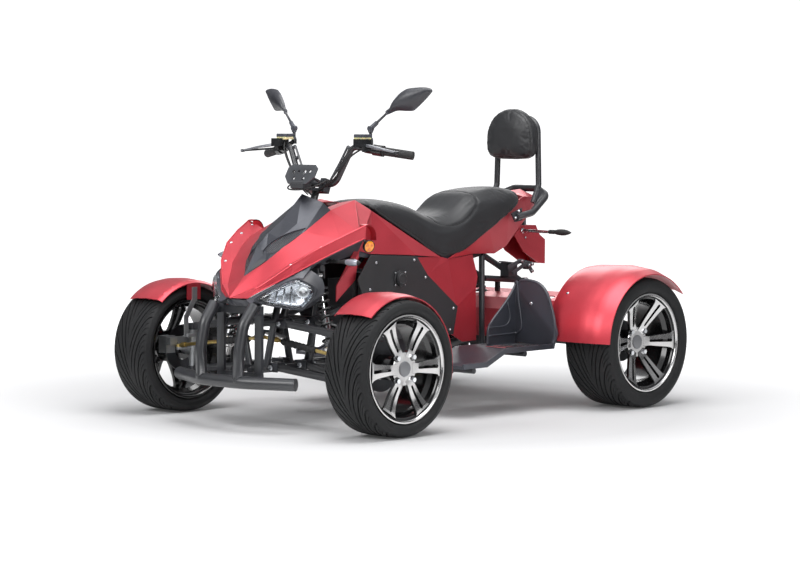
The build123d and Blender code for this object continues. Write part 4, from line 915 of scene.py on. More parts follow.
# %% Footrest details
FOOTREST_BEADS = [  # radius in mm, then places along the guard's rim, the wall and two ridges
    (6.6, [(-377, 250, 300), (-377, 250, 497), (-377, 331, 501), (-377, 386, 488),
           (-377, 426, 442), (-377, 467, 306), (-377, 450, 262)]),
    (5.2, [(-384, 254, 494), (-352, 254, 440), (-215, 254, 330), (-208, 254, 290),
           (-208, 254, 256)]),
    (3.4, [(-371, 267, 496), (-371.5, 270, 433), (-371.5, 283, 377), (-371.5, 290, 333),
           (-371.5, 290, 308), (-371, 274, 292), (-362, 260, 289), (-303, 258.5, 288),
           (-209, 258.5, 287)]),
    (3.0, [(-323, 258.5, 414), (-337, 258.5, 371), (-339, 258.5, 342), (-317, 258.5, 321),
           (-264, 258.5, 318), (-213, 258.5, 319)]),
]
INSERT_X, INSERT_Y, INSERT_Z = (-330, -285, -240, -195, -150), 360, 251.5
INSERT_LEVELS = ((60, 5.5, -2), (60, 5.5, 1.0), (57.5, 3.4, 2.4))  # half length, half width, Z
SQUARE = ((-1, -1), (1, -1), (1, 1), (-1, 1))
for side_name, side in SIDES.items():
    node = f"footrest_{side_name}"
    dressed(node, board_plastic, 2.4)
    beads = [tube(puts(side, line), radius / 1000) for radius, line in FOOTREST_BEADS]
    piece(node + "_ridges", joined("ridges", beads), "chassis", board_plastic)
    strips = bmesh.new()
    for x in INSERT_X:
        loft(strips, [puts(side, [(x + a * wide, INSERT_Y + b * reach, INSERT_Z + rise)
                                  for a, b in SQUARE]) for reach, wide, rise in INSERT_LEVELS])
    piece(node + "_inserts", strips, "chassis", turned_aluminium, sharp=20)
    screws(node + "_screw", "chassis", [(put(side, (-372, 338, 410)), (1, 0, 0))], 7.0)

# %% [markdown]
# ## Seat and backrest
# Both are foam under stitched vinyl. Each starts as a smooth crowned form, gets an even mesh and is
# blown up a little with the cloth solver while its base is held, so that it swells between its
# seams. The seams are drawn in afterwards: the vinyl dips along each, and a piping lies in the dip.

# %% Soft pieces
SEAT_ROWS = [  # X, top Z, half width, Z of the side's lower edge, Z of the underside
    (322, 811, 122, 794, 801), (300, 817, 133, 782, 796), (219, 820, 138, 738, 770),
    (90, 800, 144, 672, 710), (-32, 762, 150, 605, 640), (-93, 753, 156, 600, 640),
    (-177, 776, 159, 618, 650), (-259, 832, 158, 656, 690), (-344, 850, 155, 698, 730),
    (-478, 858, 143, 764, 793), (-550, 851, 118, 794, 822), (-578, 842, 88, 806, 825),
    (-592, 832, 52, 816, 826),
]
SEAT_SHAPE = [(0, 0), (0.3, 0.012), (0.55, 0.045), (0.75, 0.11), (0.89, 0.23), (0.965, 0.42),
              (0.995, 0.66), (1, 0.86), (0.985, 1.0)]
SEAT_OVAL = [(-20, 0, 756), (-30, 60, 750), (-46, 97, 744), (-62, 122, 732), (-126, 138, 719),
             (-198, 144, 736), (-248, 142, 770), (-284, 130, 804), (-292, 104, 822),
             (-289, 42, 835), (-288, 0, 838)]
SEAT_HEM = [(318, 0, 806), (300, 124, 797), (219, 140, 752), (90, 146, 690), (-32, 152, 622),
            (-93, 158, 613), (-177, 161, 631), (-259, 160, 669), (-344, 157, 711),
            (-478, 145, 777), (-550, 120, 806), (-579, 88, 818), (-594, 0, 824)]
PAD_BACK, PAD_FRONT, PAD_HALF, PAD_LOW, PAD_HIGH, PAD_ARCH = -671.7, -612, 122, 975, 1178, 114
PAD_CORNER = [(0, 60), (3, 32), (16, 10), (38, 1), (72, 0)]  # inward from the side, up from below
PAD_ROWS = [(PAD_BACK + 0.5, 0.93), (PAD_BACK + 4, 0.975), (PAD_BACK + 11, 1.0),
            (PAD_FRONT - 30, 1.0), (PAD_FRONT - 16, 0.985), (PAD_FRONT - 6, 0.94),
            (PAD_FRONT, 0.86), (PAD_FRONT + 3.5, 0.72), (PAD_FRONT + 5.5, 0.5),
            (PAD_FRONT + 6.5, 0.25)]
SEAT_VOXEL_M, PAD_VOXEL_M, FRAMES, PRESSURE = 0.006, 0.005, 20, 4.0


def seat_form():
    work, sections = bmesh.new(), []
    for x, top, half, edge, under in spline(SEAT_ROWS, 5):
        left = [(half * a, top - (top - edge) * b) for a, b in SEAT_SHAPE]
        left += [(half * 0.93, edge), (half * 0.9, under), (half * 0.45, under)]
        ring = left + [(0, under)] + [(-y, z) for y, z in reversed(left[1:])]
        sections.append([at(x, y, z) for y, z in ring])
    loft(work, sections)
    return to_mesh("seat_form", work, 60)


def pad_outline(x, share):
    arch = [math.radians(a) for a in range(0, 181, 12)]
    places = [(math.cos(a) * PAD_HALF * 0.99, PAD_HIGH - PAD_ARCH + PAD_ARCH * math.sin(a))
              for a in arch]
    corner = [(PAD_HALF - y, PAD_LOW + z) for y, z in PAD_CORNER]
    places += [(-y, z) for y, z in corner] + [(0, PAD_LOW)] + corner[::-1]
    middle = (PAD_LOW + PAD_HIGH) / 2
    return [at(x, y * share, middle + (z - middle) * share) for y, z in places]


def pad_form():
    work = bmesh.new()
    loft(work, [pad_outline(x, share) for x, share in PAD_ROWS])
    return to_mesh("pad_form", work, 60)


def evened(mesh, voxel):
    holder = link(bpy.data.objects.new("evening", mesh))
    step = holder.modifiers.new("even", "REMESH")
    step.mode, step.voxel_size, step.use_smooth_shade = "VOXEL", voxel, True
    made = evaluated(holder)
    bpy.data.objects.remove(holder)
    return made


def puffed(mesh, is_held, cap_mm):
    """Blows a mesh up with the cloth solver, where it isn't held, by no more than the cap."""
    rest = [v.co.copy() for v in mesh.vertices]
    holder = link(bpy.data.objects.new("stuffing", mesh))
    held = holder.vertex_groups.new(name="held")
    held.add([v.index for v in mesh.vertices if is_held(v)], 1.0, "REPLACE")
    cloth = holder.modifiers.new("cloth", "CLOTH")
    cloth.settings.quality = 4
    cloth.settings.use_pressure, cloth.settings.uniform_pressure_force = True, PRESSURE
    cloth.settings.vertex_group_mass = "held"
    cloth.settings.effector_weights.gravity = 0
    cloth.collision_settings.use_collision = False
    cloth.point_cache.frame_end = FRAMES
    for frame_number in range(1, FRAMES + 1):
        bpy.context.scene.frame_set(frame_number)
    made = evaluated(holder)
    bpy.context.scene.frame_set(1)
    bpy.data.objects.remove(holder)
    for vertex, start in zip(made.vertices, rest):
        moved = vertex.co - start
        if moved.length > cap_mm / 1000:
            vertex.co = start + moved.normalized() * cap_mm / 1000
    return made


def dented(mesh, line, depth_mm, reach_mm=5.0):
    """Lets a mesh dip along a line of places."""
    tree = KDTree(len(line))
    for i, place in enumerate(line):
        tree.insert(place, i)
    tree.balance()
    for vertex in mesh.vertices:
        distance = tree.find(vertex.co)[2] * 1000
        if distance < reach_mm * 3:
            vertex.co -= vertex.normal * depth_mm / 1000 * math.exp(-(distance / reach_mm) ** 2)


def laid_on(mesh, line):
    """Moves each place of a line to the nearest place on a mesh."""
    tree = tree_of(mesh)
    return [tree.find_nearest(place)[0] for place in line]


def soft_piece(node, mesh, seams):
    pipings = bmesh.new()
    for line, radius, depth in seams:
        on_mesh = laid_on(mesh, spline(line, 8, closed=True))
        dented(mesh, on_mesh, depth)
        ring_of(pipings, laid_on(mesh, on_mesh), radius / 1000, 6)
    for face in mesh.polygons:
        face.use_smooth = True
    mesh.materials.clear()
    item = piece(node + "_vinyl", mesh, body_of[node], seat_vinyl, node=node)
    finer = item.modifiers.new("finer", "SUBSURF")
    finer.levels = finer.render_levels = 1
    piece(node + "_piping", pipings, body_of[node], seam_thread, sharp=60)


oval, hem = (puts(1, line) + puts(-1, line[-2:0:-1]) for line in (SEAT_OVAL, SEAT_HEM))
seat_mesh = puffed(evened(seat_form(), SEAT_VOXEL_M), lambda v: v.normal.z < -0.35, 6.0)
soft_piece("seat", seat_mesh, [(oval, 1.1, 2.2), (hem, 1.5, 1.6)])
pad_mesh = puffed(evened(pad_form(), PAD_VOXEL_M), lambda v: v.normal.x < -0.6, 7.0)
soft_piece("backrest_pad", pad_mesh, [(pad_outline(PAD_FRONT - 12, 0.985), 1.3, 2.4),
                                      (pad_outline(PAD_BACK + 14, 1.0), 1.9, 1.8)])
print("seat faces", len(seat_mesh.polygons), "pad faces", len(pad_mesh.polygons))

# %% [markdown]
# ## Headlights
# Each lamp is a black shell with a silvered bowl sunk into its face, a round unit at the outer end,
# a ribbed inner part, and a clear cover that bulges a little. The shell's outline is the drawing's.

# %% Headlight shells, bowls and covers
LENS = [(891, 101, 478), (846, 157, 519), (806, 207, 547), (788, 230, 540), (761, 264, 510),
        (784, 235, 451), (806, 208, 443), (873, 124, 459)]
SHELL_BACK = [(800, 70, 470), (763.3, 108.2, 508), (750, 165, 556), (742, 218, 580),
              (738, 284, 546), (738, 284, 490), (744, 204, 440), (796, 90, 450)]
LENS_OUT = Vector((0.781, 0.624, 0))
LENS_MIDDLE = sum((Vector(p) for p in LENS), Vector()) / len(LENS)
SHELL_RINGS = [(1.1, -3), (1.09, 0), (1.02, 0.4), (0.98, -2)]  # share of the outline, mm outward
BOWL_RINGS = [(0.98, -2), (0.86, -16), (0.66, -26), (0.3, -30)]
COVER_RINGS = [(0.96, 4), (0.9, 9), (0.78, 12.5), (0.5, 14), (0.2, 14.3)]
COVER_STEP = (0.012, 2.2)  # how much smaller and lower the cover's inner face is
BOWL_FROM, BOWL_TO, BOWL_REACH = -1.9, -31, 96
UNIT_PLACE = Vector((785, 229, 505)) - LENS_OUT * 22
LAMP_RIB_M = 0.003  # radius


def lamp_ring(share, out_mm, side):
    """The lens outline, scaled about its middle and moved out of the lamp's face."""
    return spline(puts(side, [LENS_MIDDLE + (Vector(p) - LENS_MIDDLE) * share + LENS_OUT * out_mm
                              for p in LENS]), 5, closed=True)


def in_bowl(face, side):
    places = [Vector((v.co.x * 1000 + ORIGIN_MM, v.co.y * side * 1000, v.co.z * 1000))
              - LENS_MIDDLE for v in face.verts]
    return (BOWL_TO < max(p.dot(LENS_OUT) for p in places) < BOWL_FROM
            and max(p.length for p in places) < BOWL_REACH)


def headlight(side_name, side):
    """Places a lamp's shell, unit, bulb and ribs, and returns its cover."""
    shell, unit, bulb, ribs, cover = (bmesh.new() for _ in range(5))
    back = spline(puts(side, SHELL_BACK), 5, closed=True)
    rows = loft(shell, [back] + [lamp_ring(*r, side) for r in SHELL_RINGS], capped=False)
    shell.faces.new(list(reversed(rows[0])))
    bowl = loft(shell, [lamp_ring(*r, side) for r in BOWL_RINGS], capped=False)
    shell.faces.new(bowl[-1])
    bmesh.ops.remove_doubles(shell, verts=shell.verts, dist=1e-6)
    for face in shell.faces:
        face.material_index = 1 if in_bowl(face, side) else 0
    piece(f"headlight_shell_{side_name}", shell, "chassis", satin_black, silvered, sharp=34,
          slot=slot_of("headlight_housings"))
    unit_at, out = put(side, UNIT_PLACE), mirrored(LENS_OUT, side)
    turned_about(unit, [(0, -2), (24, -2), (25, 16), (23, 18), (21.5, 16), (16, 6), (0, 3)],
                 unit_at, out, 40)
    piece(f"headlight_unit_{side_name}", unit, "chassis", chrome)
    turned_about(bulb, [(0, 3), (6.5, 3), (6.5, 8), (4, 12), (0, 13)], unit_at, out, 24)
    piece(f"headlight_bulb_{side_name}", bulb, "chassis", opal_bulb)
    for share in (0, 1 / 3, 2 / 3, 1):
        low = Vector((866, 124, 466)).lerp(Vector((815, 190, 462)), share) - LENS_OUT * 10
        high = Vector((858, 136, 492)).lerp(Vector((812, 196, 520)), share) - LENS_OUT * 12
        wire(ribs, puts(side, (low, high)), LAMP_RIB_M)
    piece(f"headlight_ribs_{side_name}", ribs, "chassis", chrome)
    outer = loft(cover, [lamp_ring(*r, side) for r in [(0.975, 0.6)] + COVER_RINGS], capped=False)
    inner = loft(cover, [lamp_ring(share - COVER_STEP[0], out_mm - COVER_STEP[1], side)
                         for share, out_mm in reversed([(0.975, 2.6)] + COVER_RINGS)],
                 capped=False)
    cover.faces.new(outer[-1])
    cover.faces.new(inner[0])
    count = len(outer[0])
    for j in range(count):
        k = (j + 1) % count
        cover.faces.new((outer[0][j], outer[0][k], inner[-1][k], inner[-1][j]))
    return to_mesh("cover", cover, 50)


covers = [headlight(side_name, side) for side_name, side in SIDES.items()]
piece("headlight_covers", joined("covers", covers), "chassis", clear_lens,
      node="headlight_lenses")
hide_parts("headlight_housings")

# %% [markdown]
# A black moulding closes the space between the nose's edge and each lamp, and runs back under the
# edge as a liner. The red edge ends in a hook that is folded over the round reflector.

# %% Brow, liner and hook
BROW = [  # upper edge under the nose, lower edge on the lamp
    ((899, 50, 472), (905, 82, 458)), ((890, 70, 482), (898, 94, 468)),
    ((884, 90, 493), (890, 103, 480)), ((845, 138, 526), (846, 160, 521)),
    ((805, 184, 558), (805, 210, 549)), ((770, 206, 579), (782, 226, 552)),
    ((735, 228, 600), (748, 222, 578)),
]
LINER = [((760, 212, 584), (742, 190, 560)), ((700, 246, 620), (690, 176, 585)),
         ((618, 278, 658), (606, 190, 604)), ((540, 298, 690), (530, 200, 622)),
         ((500, 262, 690), (470, 190, 628))]
BACKING = [(478, 176, 638), (385, 172, 625), (127, 168, 611), (10, 150, 602), (-60, 138, 594),
           (-100, 138, 588), (-170, 136, 612)]
BACKING_HALF, HOOK_OUTER, HOOK_INNER, CHEEK_INNER = 15, 313, 283, 286
HOOK = [(545, 742), (528, 745), (508, 739), (493, 723), (486, 702), (485, 684)]
HOOK_MIDDLE = (515, 690)
EDGE_LINES = [  # radius in mm, then places
    (2.4, [(900, 40, 492), (876, 100, 521), (798, 190, 602), (713, 250, 663), (625, 286, 706),
           (541, 312, 742)]),
    (2.6, [(897, 56, 477), (886, 92, 497), (806, 186, 562), (700, 250, 624), (618, 282, 662),
           (538, 304, 694)]),
]
for side_name, side in SIDES.items():
    brow, hook = bmesh.new(), bmesh.new()
    ribbon(brow, side, BROW, LENS_OUT * -5)
    ribbon(brow, side, [((x, y, z - BACKING_HALF), (x, y, z + BACKING_HALF))
                        for x, y, z in BACKING], (0, -3, 0))
    ribbon(brow, side, LINER, (0, 0, -3))
    piece(f"lamp_brow_{side_name}", brow, "chassis", satin_black, sharp=40)
    bend = spline(HOOK, 3)
    rows = []
    for x, z in bend:
        low_x, low_z = x + (HOOK_MIDDLE[0] - x) * 0.1, z + (HOOK_MIDDLE[1] - z) * 0.06
        rows.append(puts(side, ((x, HOOK_OUTER, z), (x, HOOK_INNER, z),
                                (low_x, HOOK_INNER, low_z), (low_x, HOOK_OUTER, low_z))))
    loft(hook, rows)
    loft(hook, [puts(side, [(x, y, z) for x, z in bend + [(520, 676), (541, 690)]])
                for y in (HOOK_INNER, CHEEK_INNER)])
    for radius, line in EDGE_LINES:
        wire(hook, puts(side, line), radius / 1000)
    piece(f"nose_edge_{side_name}", hook, "chassis", red_lacquer, sharp=40)

# %% [markdown]
# ## Reflectors, indicators and tail light
# The round reflectors have three moulded sectors in a black ring. The indicators are leaf-shaped
# lamps on rubber stalks, the rear ones on bright rods.

# %% Small lamps
REFLECTOR_OUT = Vector((0.198, 0.966, -0.169))
REFLECTOR_MIDDLE, REFLECTOR_STEM = (515, 296.9, 664), (548, 296, 698)
SECTOR_LOW_MM, SECTOR_HIGH_MM, SECTOR_HALF = 9.5, 10.95, 0.5
LEAF = [(0, 0.5), (0.08, 0.62), (0.25, 0.88), (0.45, 1.0), (0.65, 0.94), (0.82, 0.66),
        (0.94, 0.3), (1.0, 0.08)]  # share of the length, share of the half height


def shaded_loft(work, rows, shade_of):
    """Joins rows and gives each new face the material that a test picks."""
    before = len(work.faces)
    loft(work, rows)
    work.faces.ensure_lookup_table()
    for face in work.faces[before:]:
        face.material_index = shade_of(face)


def reflector(side):
    work = bmesh.new()
    start, out = put(side, REFLECTOR_MIDDLE), mirrored(REFLECTOR_OUT, side)
    turned_about(work, [(0, -2), (23.5, -2), (23.5, 9), (22.6, 10), (21, 10), (20.6, 8.6)],
                 start, out, 48)
    turned_about(work, [(20.8, 8), (20.6, 8.8), (18, 9.8), (9, 10.2), (0, 10.3)], start, out, 48,
                 shade=1)
    wire(work, [start + out * 0.002, put(side, REFLECTOR_STEM)], 0.005)
    stand = stood_at(start, out)
    for k in range(3):
        a = 2 * math.pi * (k + 0.25) / 3
        sector = [(r * math.cos(a + b), r * math.sin(a + b)) for r, b in (
            (6, -SECTOR_HALF), (17, -SECTOR_HALF), (17.6, 0), (17, SECTOR_HALF),
            (6, SECTOR_HALF))]
        shaded_loft(work, [[stand @ (Vector((*p, z)) / 1000) for p in sector]
                           for z in (SECTOR_LOW_MM, SECTOR_HIGH_MM)], lambda face: 2)
    return to_mesh("reflector", work, 34)


piece("side_reflector_discs", joined("discs", [reflector(side) for side in SIDES.values()]),
      "chassis", smooth_plastic, amber_lens, amber_deep, node="side_reflectors")


def leaf_lamp(work, root, side, length_mm, half_mm, facing):
    """A leaf-shaped lamp along Y, with its lens on the face that looks forward (1) or back (-1)."""
    rows = []
    for along, wide in LEAF:
        middle = root + Vector((0, side * length_mm * along, 0)) / 1000
        rows.append([middle + Vector((half_mm * 0.82 * wide * c, 0, half_mm * wide * s)) / 1000
                     for c, s in circle(20)])

    def shade_of(face):
        middle = (face.calc_center_median() - root) * 1000
        on_lens = 0.12 < abs(middle.y) / length_mm < 0.85 and abs(middle.z) < half_mm * 0.8
        return 1 if on_lens and middle.x * facing > 0 else 0

    shaded_loft(work, rows, shade_of)


def ribbed(start_mm, end_mm, radius, rib, count):
    """A rubber sleeve's profile with ribs."""
    profile = [(0, start_mm), (radius, start_mm)]
    step = (end_mm - start_mm) / count
    for k in range(count):
        profile += [(r, start_mm + step * (k + share)) for r, share in (
            (radius, 0.2), (rib, 0.35), (rib, 0.65), (radius, 0.8))]
    return profile + [(radius, end_mm), (0, end_mm)]


lamps = []
for side in SIDES.values():
    work, out = bmesh.new(), (0, side, 0)
    front_root, rear_root = puts(side, ((640, 97.5, 610), (-655, 50.5, 680)))
    turned_about(work, ribbed(0, 205, 6.2, 7.4, 12), front_root, out, 20)
    turned_about(work, [(6.5, 196), (9.5, 198), (9.5, 206), (6, 209)], front_root, out, 20)
    leaf_lamp(work, put(side, (640, 300, 610)), side, 80, 14, 1)
    turned_about(work, [(0, 0), (11, 0), (11, 5), (9, 7), (6.6, 7), (6.6, 148), (0, 148)],
                 rear_root, out, 20, shade=2)
    turned_about(work, ribbed(144, 172, 7.4, 9.0, 3), rear_root, out, 20)
    leaf_lamp(work, put(side, (-655, 216, 680)), side, 94, 13, -1)
    lamps.append(to_mesh("lamp", work, 34))
piece("indicator_lamps", joined("indicator_lamps", lamps), "chassis", grip_rubber, smoked_lens,
      bright_zinc, node="indicators")
dressed("tail_light", red_lens, 2.0)

# %% [markdown]
# ## Suspension and running gear
# The front dampers have a bright lower cup, the coil and a black upper cup. The springs are real
# coils here, where the CAD has ribs.

# %% Springs and dampers
LEGS = {  # lower eye, upper eye, cup radius, turns of the coil, its share of the length
    "front": ((685, 287, 224), (685, 210, 560), 27, 8, 0.62),
    "rear": ((-645, 118, 302), (-585, 126, 483), 24, 7, 0.6),
}
LEG_FINISHES = {"cup": turned_aluminium, "rod": chrome, "cap": powder_coat, "coil": spring_steel}


def spring_leg(low, top, radius, turns, share):
    along = (top - low).normalized()
    length = (top - low).length * 1000
    start, span = length * (1 - share) * 0.6, length * share
    cup, rod, cap, coil = parts = [bmesh.new() for _ in range(4)]
    turned_about(cup, [(0, 8), (9, 9), (15, 15), (16, start - 34), (radius * 0.9, start - 28),
                       (radius * 0.94, start - 8), (radius, start - 6), (radius, start - 1),
                       (radius * 0.6, start)], low, along, 28)
    for place in (low, top):
        for wide, reach, steps in ((11.8, 12, 24), (6, 13.5, 16)):
            turned_about(cup, [(0, -reach), (wide, -reach), (wide, reach), (0, reach)], place,
                         (1, 0, 0), steps)
    turned_about(rod, [(0, start), (radius * 0.5, start), (radius * 0.5, start + span * 0.5),
                       (5.5, start + span * 0.52), (5.5, length - 10), (0, length - 10)],
                 low, along, 24)
    end = start + span
    turned_about(cap, [(5, end - 1), (radius, end), (radius, end + 5), (14, end + 7),
                       (12, length - 11), (0, length - 9)], low, along, 28)
    wound_wire(coil, low + along * start / 1000, along, radius * 0.82, radius * 0.165, span, turns)
    return [to_mesh("leg", part, 34) for part in parts]


for end, (low, top, *size) in LEGS.items():
    legs = [spring_leg(*puts(side, (low, top)), *size) for side in SIDES.values()]
    for (name, material), meshes in zip(LEG_FINISHES.items(), zip(*legs)):
        piece(f"{end}_shock_{name}", joined(f"{end}_{name}", meshes), "chassis", material,
              node=f"{end}_shocks" if name == "coil" else None)

# %% Frame, arms, axle and rods
HOOP_PLACE, TUBE_MM = (983, 96, 179), 23  # where a bumper hoop stands on its tube
WELD_X_MM, WELD_Y_MM, WELD_M, WELD_STEPS = 20.9, 21.6, 0.0019, 40
ARM_BOLTS = [(760, 115, 381), (610, 115, 381), (760, 74, 217), (610, 74, 217)]
RAIL_BOLTS, RAIL_OUT = [(-520, 146, 765), (-500, 146, 738)], (-0.24, 0.96, -0.1)
for node in ("main_frame", "lower_frame", "frame_posts", "front_bumper", "front_carrier",
             "upper_arms", "lower_arms", "swing_arm", "grab_rail", "backrest_frame", "handlebar",
             "steering_column", "battery_box", "dash_bracket", "parking_brake"):
    dressed(node, powder_coat)
for side_name in SIDES:
    dressed(f"knuckle_{side_name}", cast_aluminium, 0.8)
    rod = f"tie_rod_{side_name}"
    dressed(rod, yellow_zinc)
    places = sorted((v.co.copy() for v in nodes[rod].data.vertices), key=lambda p: abs(p.y))
    few = len(places) // 8
    near, far = (sum(group, Vector()) / few for group in (places[:few], places[-few:]))
    reach = (far - near).length * 1000
    boot = bmesh.new()
    turned_about(boot, ribbed(reach * 0.16, reach * 0.52, 10.5, 13.5, 9), near, far - near, 24)
    piece(f"tie_rod_boot_{side_name}", boot, rod, grip_rubber, sharp=34)
dressed("rear_drive", dark_cast, 1.5)
for side_name, side in SIDES.items():
    spots = [(put(side, (x + way * 36, y, z)), (way, 0, 0)) for x, y, z in ARM_BOLTS
             for way in (-1, 1)]
    screws(f"arm_bolts_{side_name}", "chassis", spots, 8.5, nuts=True, height_mm=6)
    spots = [(p, mirrored(RAIL_OUT, side)) for p in puts(side, RAIL_BOLTS)]
    screws(f"grab_rail_bolts_{side_name}", "chassis", spots, 6.5, height_mm=5)
    bead = bmesh.new()
    x, y, z = HOOP_PLACE
    ring_of(bead, puts(side, [
        (x + WELD_X_MM * c, y + WELD_Y_MM * s,
         z + math.sqrt(TUBE_MM ** 2 - (WELD_X_MM * c) ** 2) + 0.4)
        for c, s in circle(WELD_STEPS)]), WELD_M)
    piece(f"bumper_weld_{side_name}", bead, "chassis", powder_coat, sharp=60)

# %% [markdown]
# Behind the heel guard sits the brake's linkage: two pressed levers, a pivot drum and its bolts.

# %% Brake linkage
LINKS = [  # two ends and the half width
    ((-428, 168, 542), (-500, 172, 566), 8), ((-500, 172, 566), (-566, 178, 552), 9),
    ((-452, 176, 520), (-536, 180, 560), 7), ((-536, 176, 560), (-572, 176, 520), 8)]
LINK_BOLTS = [(-500, 182, 566), (-540, 186, 548), (-566, 181, 552), (-568, 179, 524)]
for side_name, side in SIDES.items():
    links, out = bmesh.new(), (0, side, 0)
    for start, end, half in LINKS:
        a, b = Vector(start), Vector(end)
        across = (b - a).normalized().cross(Vector(LEFT)) * half
        loft(links, [puts(side, [p + across * way + Vector((0, lift * 2.5, 0))
                                 for way, lift in SQUARE]) for p in (a, a.lerp(b, 0.5), b)])
    turned_about(links, [(0, -14), (17, -14), (17, 6), (14, 8), (9, 8), (9, 12), (0, 12)],
                 put(side, (-540, 174, 548)), out, 28)
    turned_about(links, [(0, -10), (9, -10), (9, 8), (0, 8)], put(side, (-500, 174, 566)), out,
                 20)
    piece(f"brake_links_{side_name}", links, "chassis", dark_cast, sharp=34)
    screws(f"brake_link_bolts_{side_name}", "chassis",
           [(p, out) for p in puts(side, LINK_BOLTS)], 6.0, nuts=True, height_mm=5)

# %% [markdown]
# ## Handlebar
# Slotted braces run beside the risers. Each side carries a reservoir with a bare translucent body
# and a dark lid, an aluminium lever, a switch box and the cables that dive into the hood.

# %% Handlebar details
BRACE_INNER = [(478, 62, 897), (468, 104, 966), (462, 138, 1026)]
BRACE_OUTER = [(481, 84, 890), (470, 126, 956), (463, 158, 1016)]
BRACE_ROD_M, BRACE_RUNG_M, CABLE_LOOP_M = 0.0046, 0.0075, 0.003  # radii
CABLES = [  # radius in mm, then places
    (2.6, [(470, 190, 1040), (496, 172, 1014), (496, 138, 955), (506, 92, 897), (520, 46, 866),
           (512, 20, 846)]),
    (3.4, [(452, 206, 1020), (484, 168, 996), (488, 132, 940), (498, 84, 886), (510, 30, 860),
           (502, 10, 844)]),
]
CABLE_LOOP = [(500, -96, 900), (548, -92, 876), (592, -58, 866), (598, 10, 864), (575, 70, 872),
              (520, 96, 905)]
RESERVOIR = (452, 206, 1060)
CUP_LEVELS, LID_LEVELS = ((-8, 24.2), (2, 24.2)), ((2, 24.8), (12, 24.8), (14, 23))
LEVER = [  # place, half depth, half height
    ((452, 214, 1033), 10, 6), ((474, 262, 1030), 9, 5.5), ((484, 320, 1022), 7, 4.5),
    ((482, 402, 1008), 6, 4)]


def octagon(a, b):
    """A unit square with cut corners."""
    return [(-1, -b), (-a, -1), (a, -1), (1, -b), (1, b), (a, 1), (-a, 1), (-1, b)]


dressed("grips", grip_rubber, 1.0)
dressed("bar_controls", smooth_plastic, 1.6)
braces, cables = [], []
for side_name, side in SIDES.items():
    brace, lever = bmesh.new(), bmesh.new()
    inner, outer = puts(side, BRACE_INNER), puts(side, BRACE_OUTER)
    for a, b in zip(inner, inner[1:]):
        wire(brace, [a, b], BRACE_ROD_M)
    for share in (0, 0.34, 0.67, 1.0):
        k = min(int(share * 2), 1)
        wire(brace, [line[k].lerp(line[k + 1], share * 2 - k) for line in (inner, outer)],
             BRACE_RUNG_M)
    braces.append(to_mesh("brace", brace, 50))
    cables += [tube(puts(side, line), radius / 1000, order=4) for radius, line in CABLES]
    x, y, z = RESERVOIR
    for name, levels, material in (("reservoir", CUP_LEVELS, pale_nylon),
                                   ("reservoir_lid", LID_LEVELS, satin_black)):
        box = bmesh.new()
        loft(box, [puts(side, [(x + a * wide, y + b * (wide + 2), z + h)
                               for a, b in octagon(0.8, 0.8)]) for h, wide in levels])
        piece(f"{name}_{side_name}", box, "steering", material)
    screws(f"reservoir_screws_{side_name}", "steering",
           [(put(side, (x + a, y + a, z + 14)), (0, 0, 1)) for a in (-17, 17)], 2.6,
           height_mm=1.6)
    loft(lever, [puts(side, [Vector(place) + Vector((a * deep, 0, b * tall))
                             for a, b in octagon(0.5, 0.6)]) for place, deep, tall in LEVER])
    turned_about(lever, [(0, -6.5), (6, -5), (8.4, 0), (6, 5), (0, 6.5)],
                 put(side, (482, 409, 1007)), (0, 0, 1), 20)
    piece(f"brake_lever_{side_name}", lever, "steering", satin_aluminium, sharp=34)
piece("riser_braces", joined("riser_braces", braces), "steering", powder_coat)
cables.append(tube(puts(1, CABLE_LOOP), CABLE_LOOP_M, order=4))
piece("bar_cables", joined("bar_cables", cables), "steering", grip_rubber)
lock = bmesh.new()
loft(lock, [[at(x, y * wide, z) for x, y, z in ((592 - drop, -34, high), (592 - drop, 34, high),
                                                (548, 34, high - 4), (548, -34, high - 4))]
            for high, wide, drop in ((868, 0.86, 6), (872, 1.0, 0), (893, 1.0, 0), (898, 0.9, 5))])
turned_about(lock, [(0, 0), (13, 0), (13, 5), (11, 7), (7, 7), (6, 5), (0, 5)],
             at(566, 14, 896), (0.3, 0, 1), 28)
piece("ignition_lock", lock, "steering", grained_plastic, sharp=30)

# %% [markdown]
# ## Mirrors
# A thin stem with a hinge joint carries an angular housing with a fold along its back. The glass
# sits in its rear face.

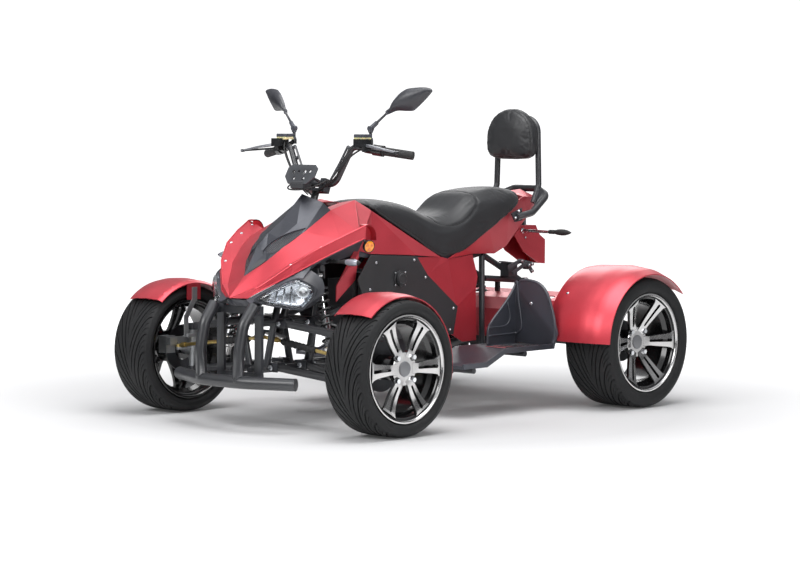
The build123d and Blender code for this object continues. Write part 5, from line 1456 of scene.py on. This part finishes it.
# %% Mirrors
MIRROR_JOINT, MIRROR_NECK, MIRROR_TIP = (Vector(p) for p in (
    (406, 203, 1095), (385, 274, 1158), (329, 441, 1235)))
MIRROR_ROWS = [  # share of the length, half height above and below, depth
    (-0.05, 8, 8, 9), (0.05, 12, 9, 11), (0.11, 22, 9, 14), (0.2, 33, 13, 18),
    (0.34, 44, 26, 22), (0.47, 48, 36, 24), (0.56, 47, 34, 24), (0.78, 33, 20, 18),
    (0.92, 20, 9, 12), (0.985, 10, 3, 7), (1.0, 5, 1, 3)]
GLASS_FROM_MM = 24
along = (MIRROR_TIP - MIRROR_NECK).normalized()
face = Vector((-1, -0.2, 0.1))
face = (face - along * face.dot(along)).normalized()
tall = along.cross(face)
rows, rim_high, rim_low = [], [], []
for share, high, low, deep in spline(MIRROR_ROWS, 3):
    middle = MIRROR_NECK + (MIRROR_TIP - MIRROR_NECK) * share
    fold = min(9, high * 0.4)
    above, whole = high - fold, fold + low
    row = [middle + tall * rise + face * out for rise, out in (
        (high, 5), (high - 3, 4), (3 - low, 4), (-low, 5))]
    row += [middle + tall * rise - face * (deep * back - 4) for rise, back in (
        (1.5 - low, 0.1), (fold - whole * 0.62, 0.52), (fold - whole * 0.3, 0.8), (fold, 1.0),
        (fold + above * 0.4, 0.93), (fold + above * 0.7, 0.74), (high - above * 0.1, 0.4),
        (high - 1.2, 0.12))]
    rows.append(row)
    if high + low > GLASS_FROM_MM:
        rim_high.append(middle + tall * (high - 3.4) + face * 4.6)
        rim_low.append(middle - tall * (low - 3.4) + face * 4.6)
edge = rim_high + rim_low[::-1]
housings, glasses = [], []
for side in SIDES.values():
    shell, stem, glass = (bmesh.new() for _ in range(3))
    loft(shell, [puts(side, row) for row in rows])
    joint, neck = puts(side, (MIRROR_JOINT, MIRROR_NECK))
    reach = (neck - joint).length * 1000
    turned_about(stem, [(0, -42), (9, -42), (9, -36), (6, -34), (6, -16), (9.5, -14), (9.5, -4),
                        (7, 0)], joint, (0, 0, 1), 24)
    turned_about(stem, [(0, -9), (10, -9), (10, 9), (0, 9)], joint, (1, 0, 0), 24)
    turned_about(stem, [(0, 0), (9, 2), (8.2, 34), (5, 38), (4.2, reach - 14), (8, reach - 4),
                        (0, reach)], joint, neck - joint, 24)
    housings += [to_mesh("mirror", shell, 24), to_mesh("stem", stem, 34)]
    loft(glass, [puts(side, [p - face * 2 for p in edge]), puts(side, edge)])
    glasses.append(to_mesh("glass", glass, 20))
piece("mirror_housings", joined("mirror_housings", housings), "steering", satin_black,
      node="mirrors")
piece("mirror_glasses", joined("mirror_glasses", glasses), "steering", mirror_glass)

# %% Sizes and finish
low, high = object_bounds()
{"cad": [list(cad_low), list(cad_high)], "visual": [list(low), list(high)]}
print("grown by", [round(v * 1000, 1) for v in (cad_low - low)],
      [round(v * 1000, 1) for v in (high - cad_high)])
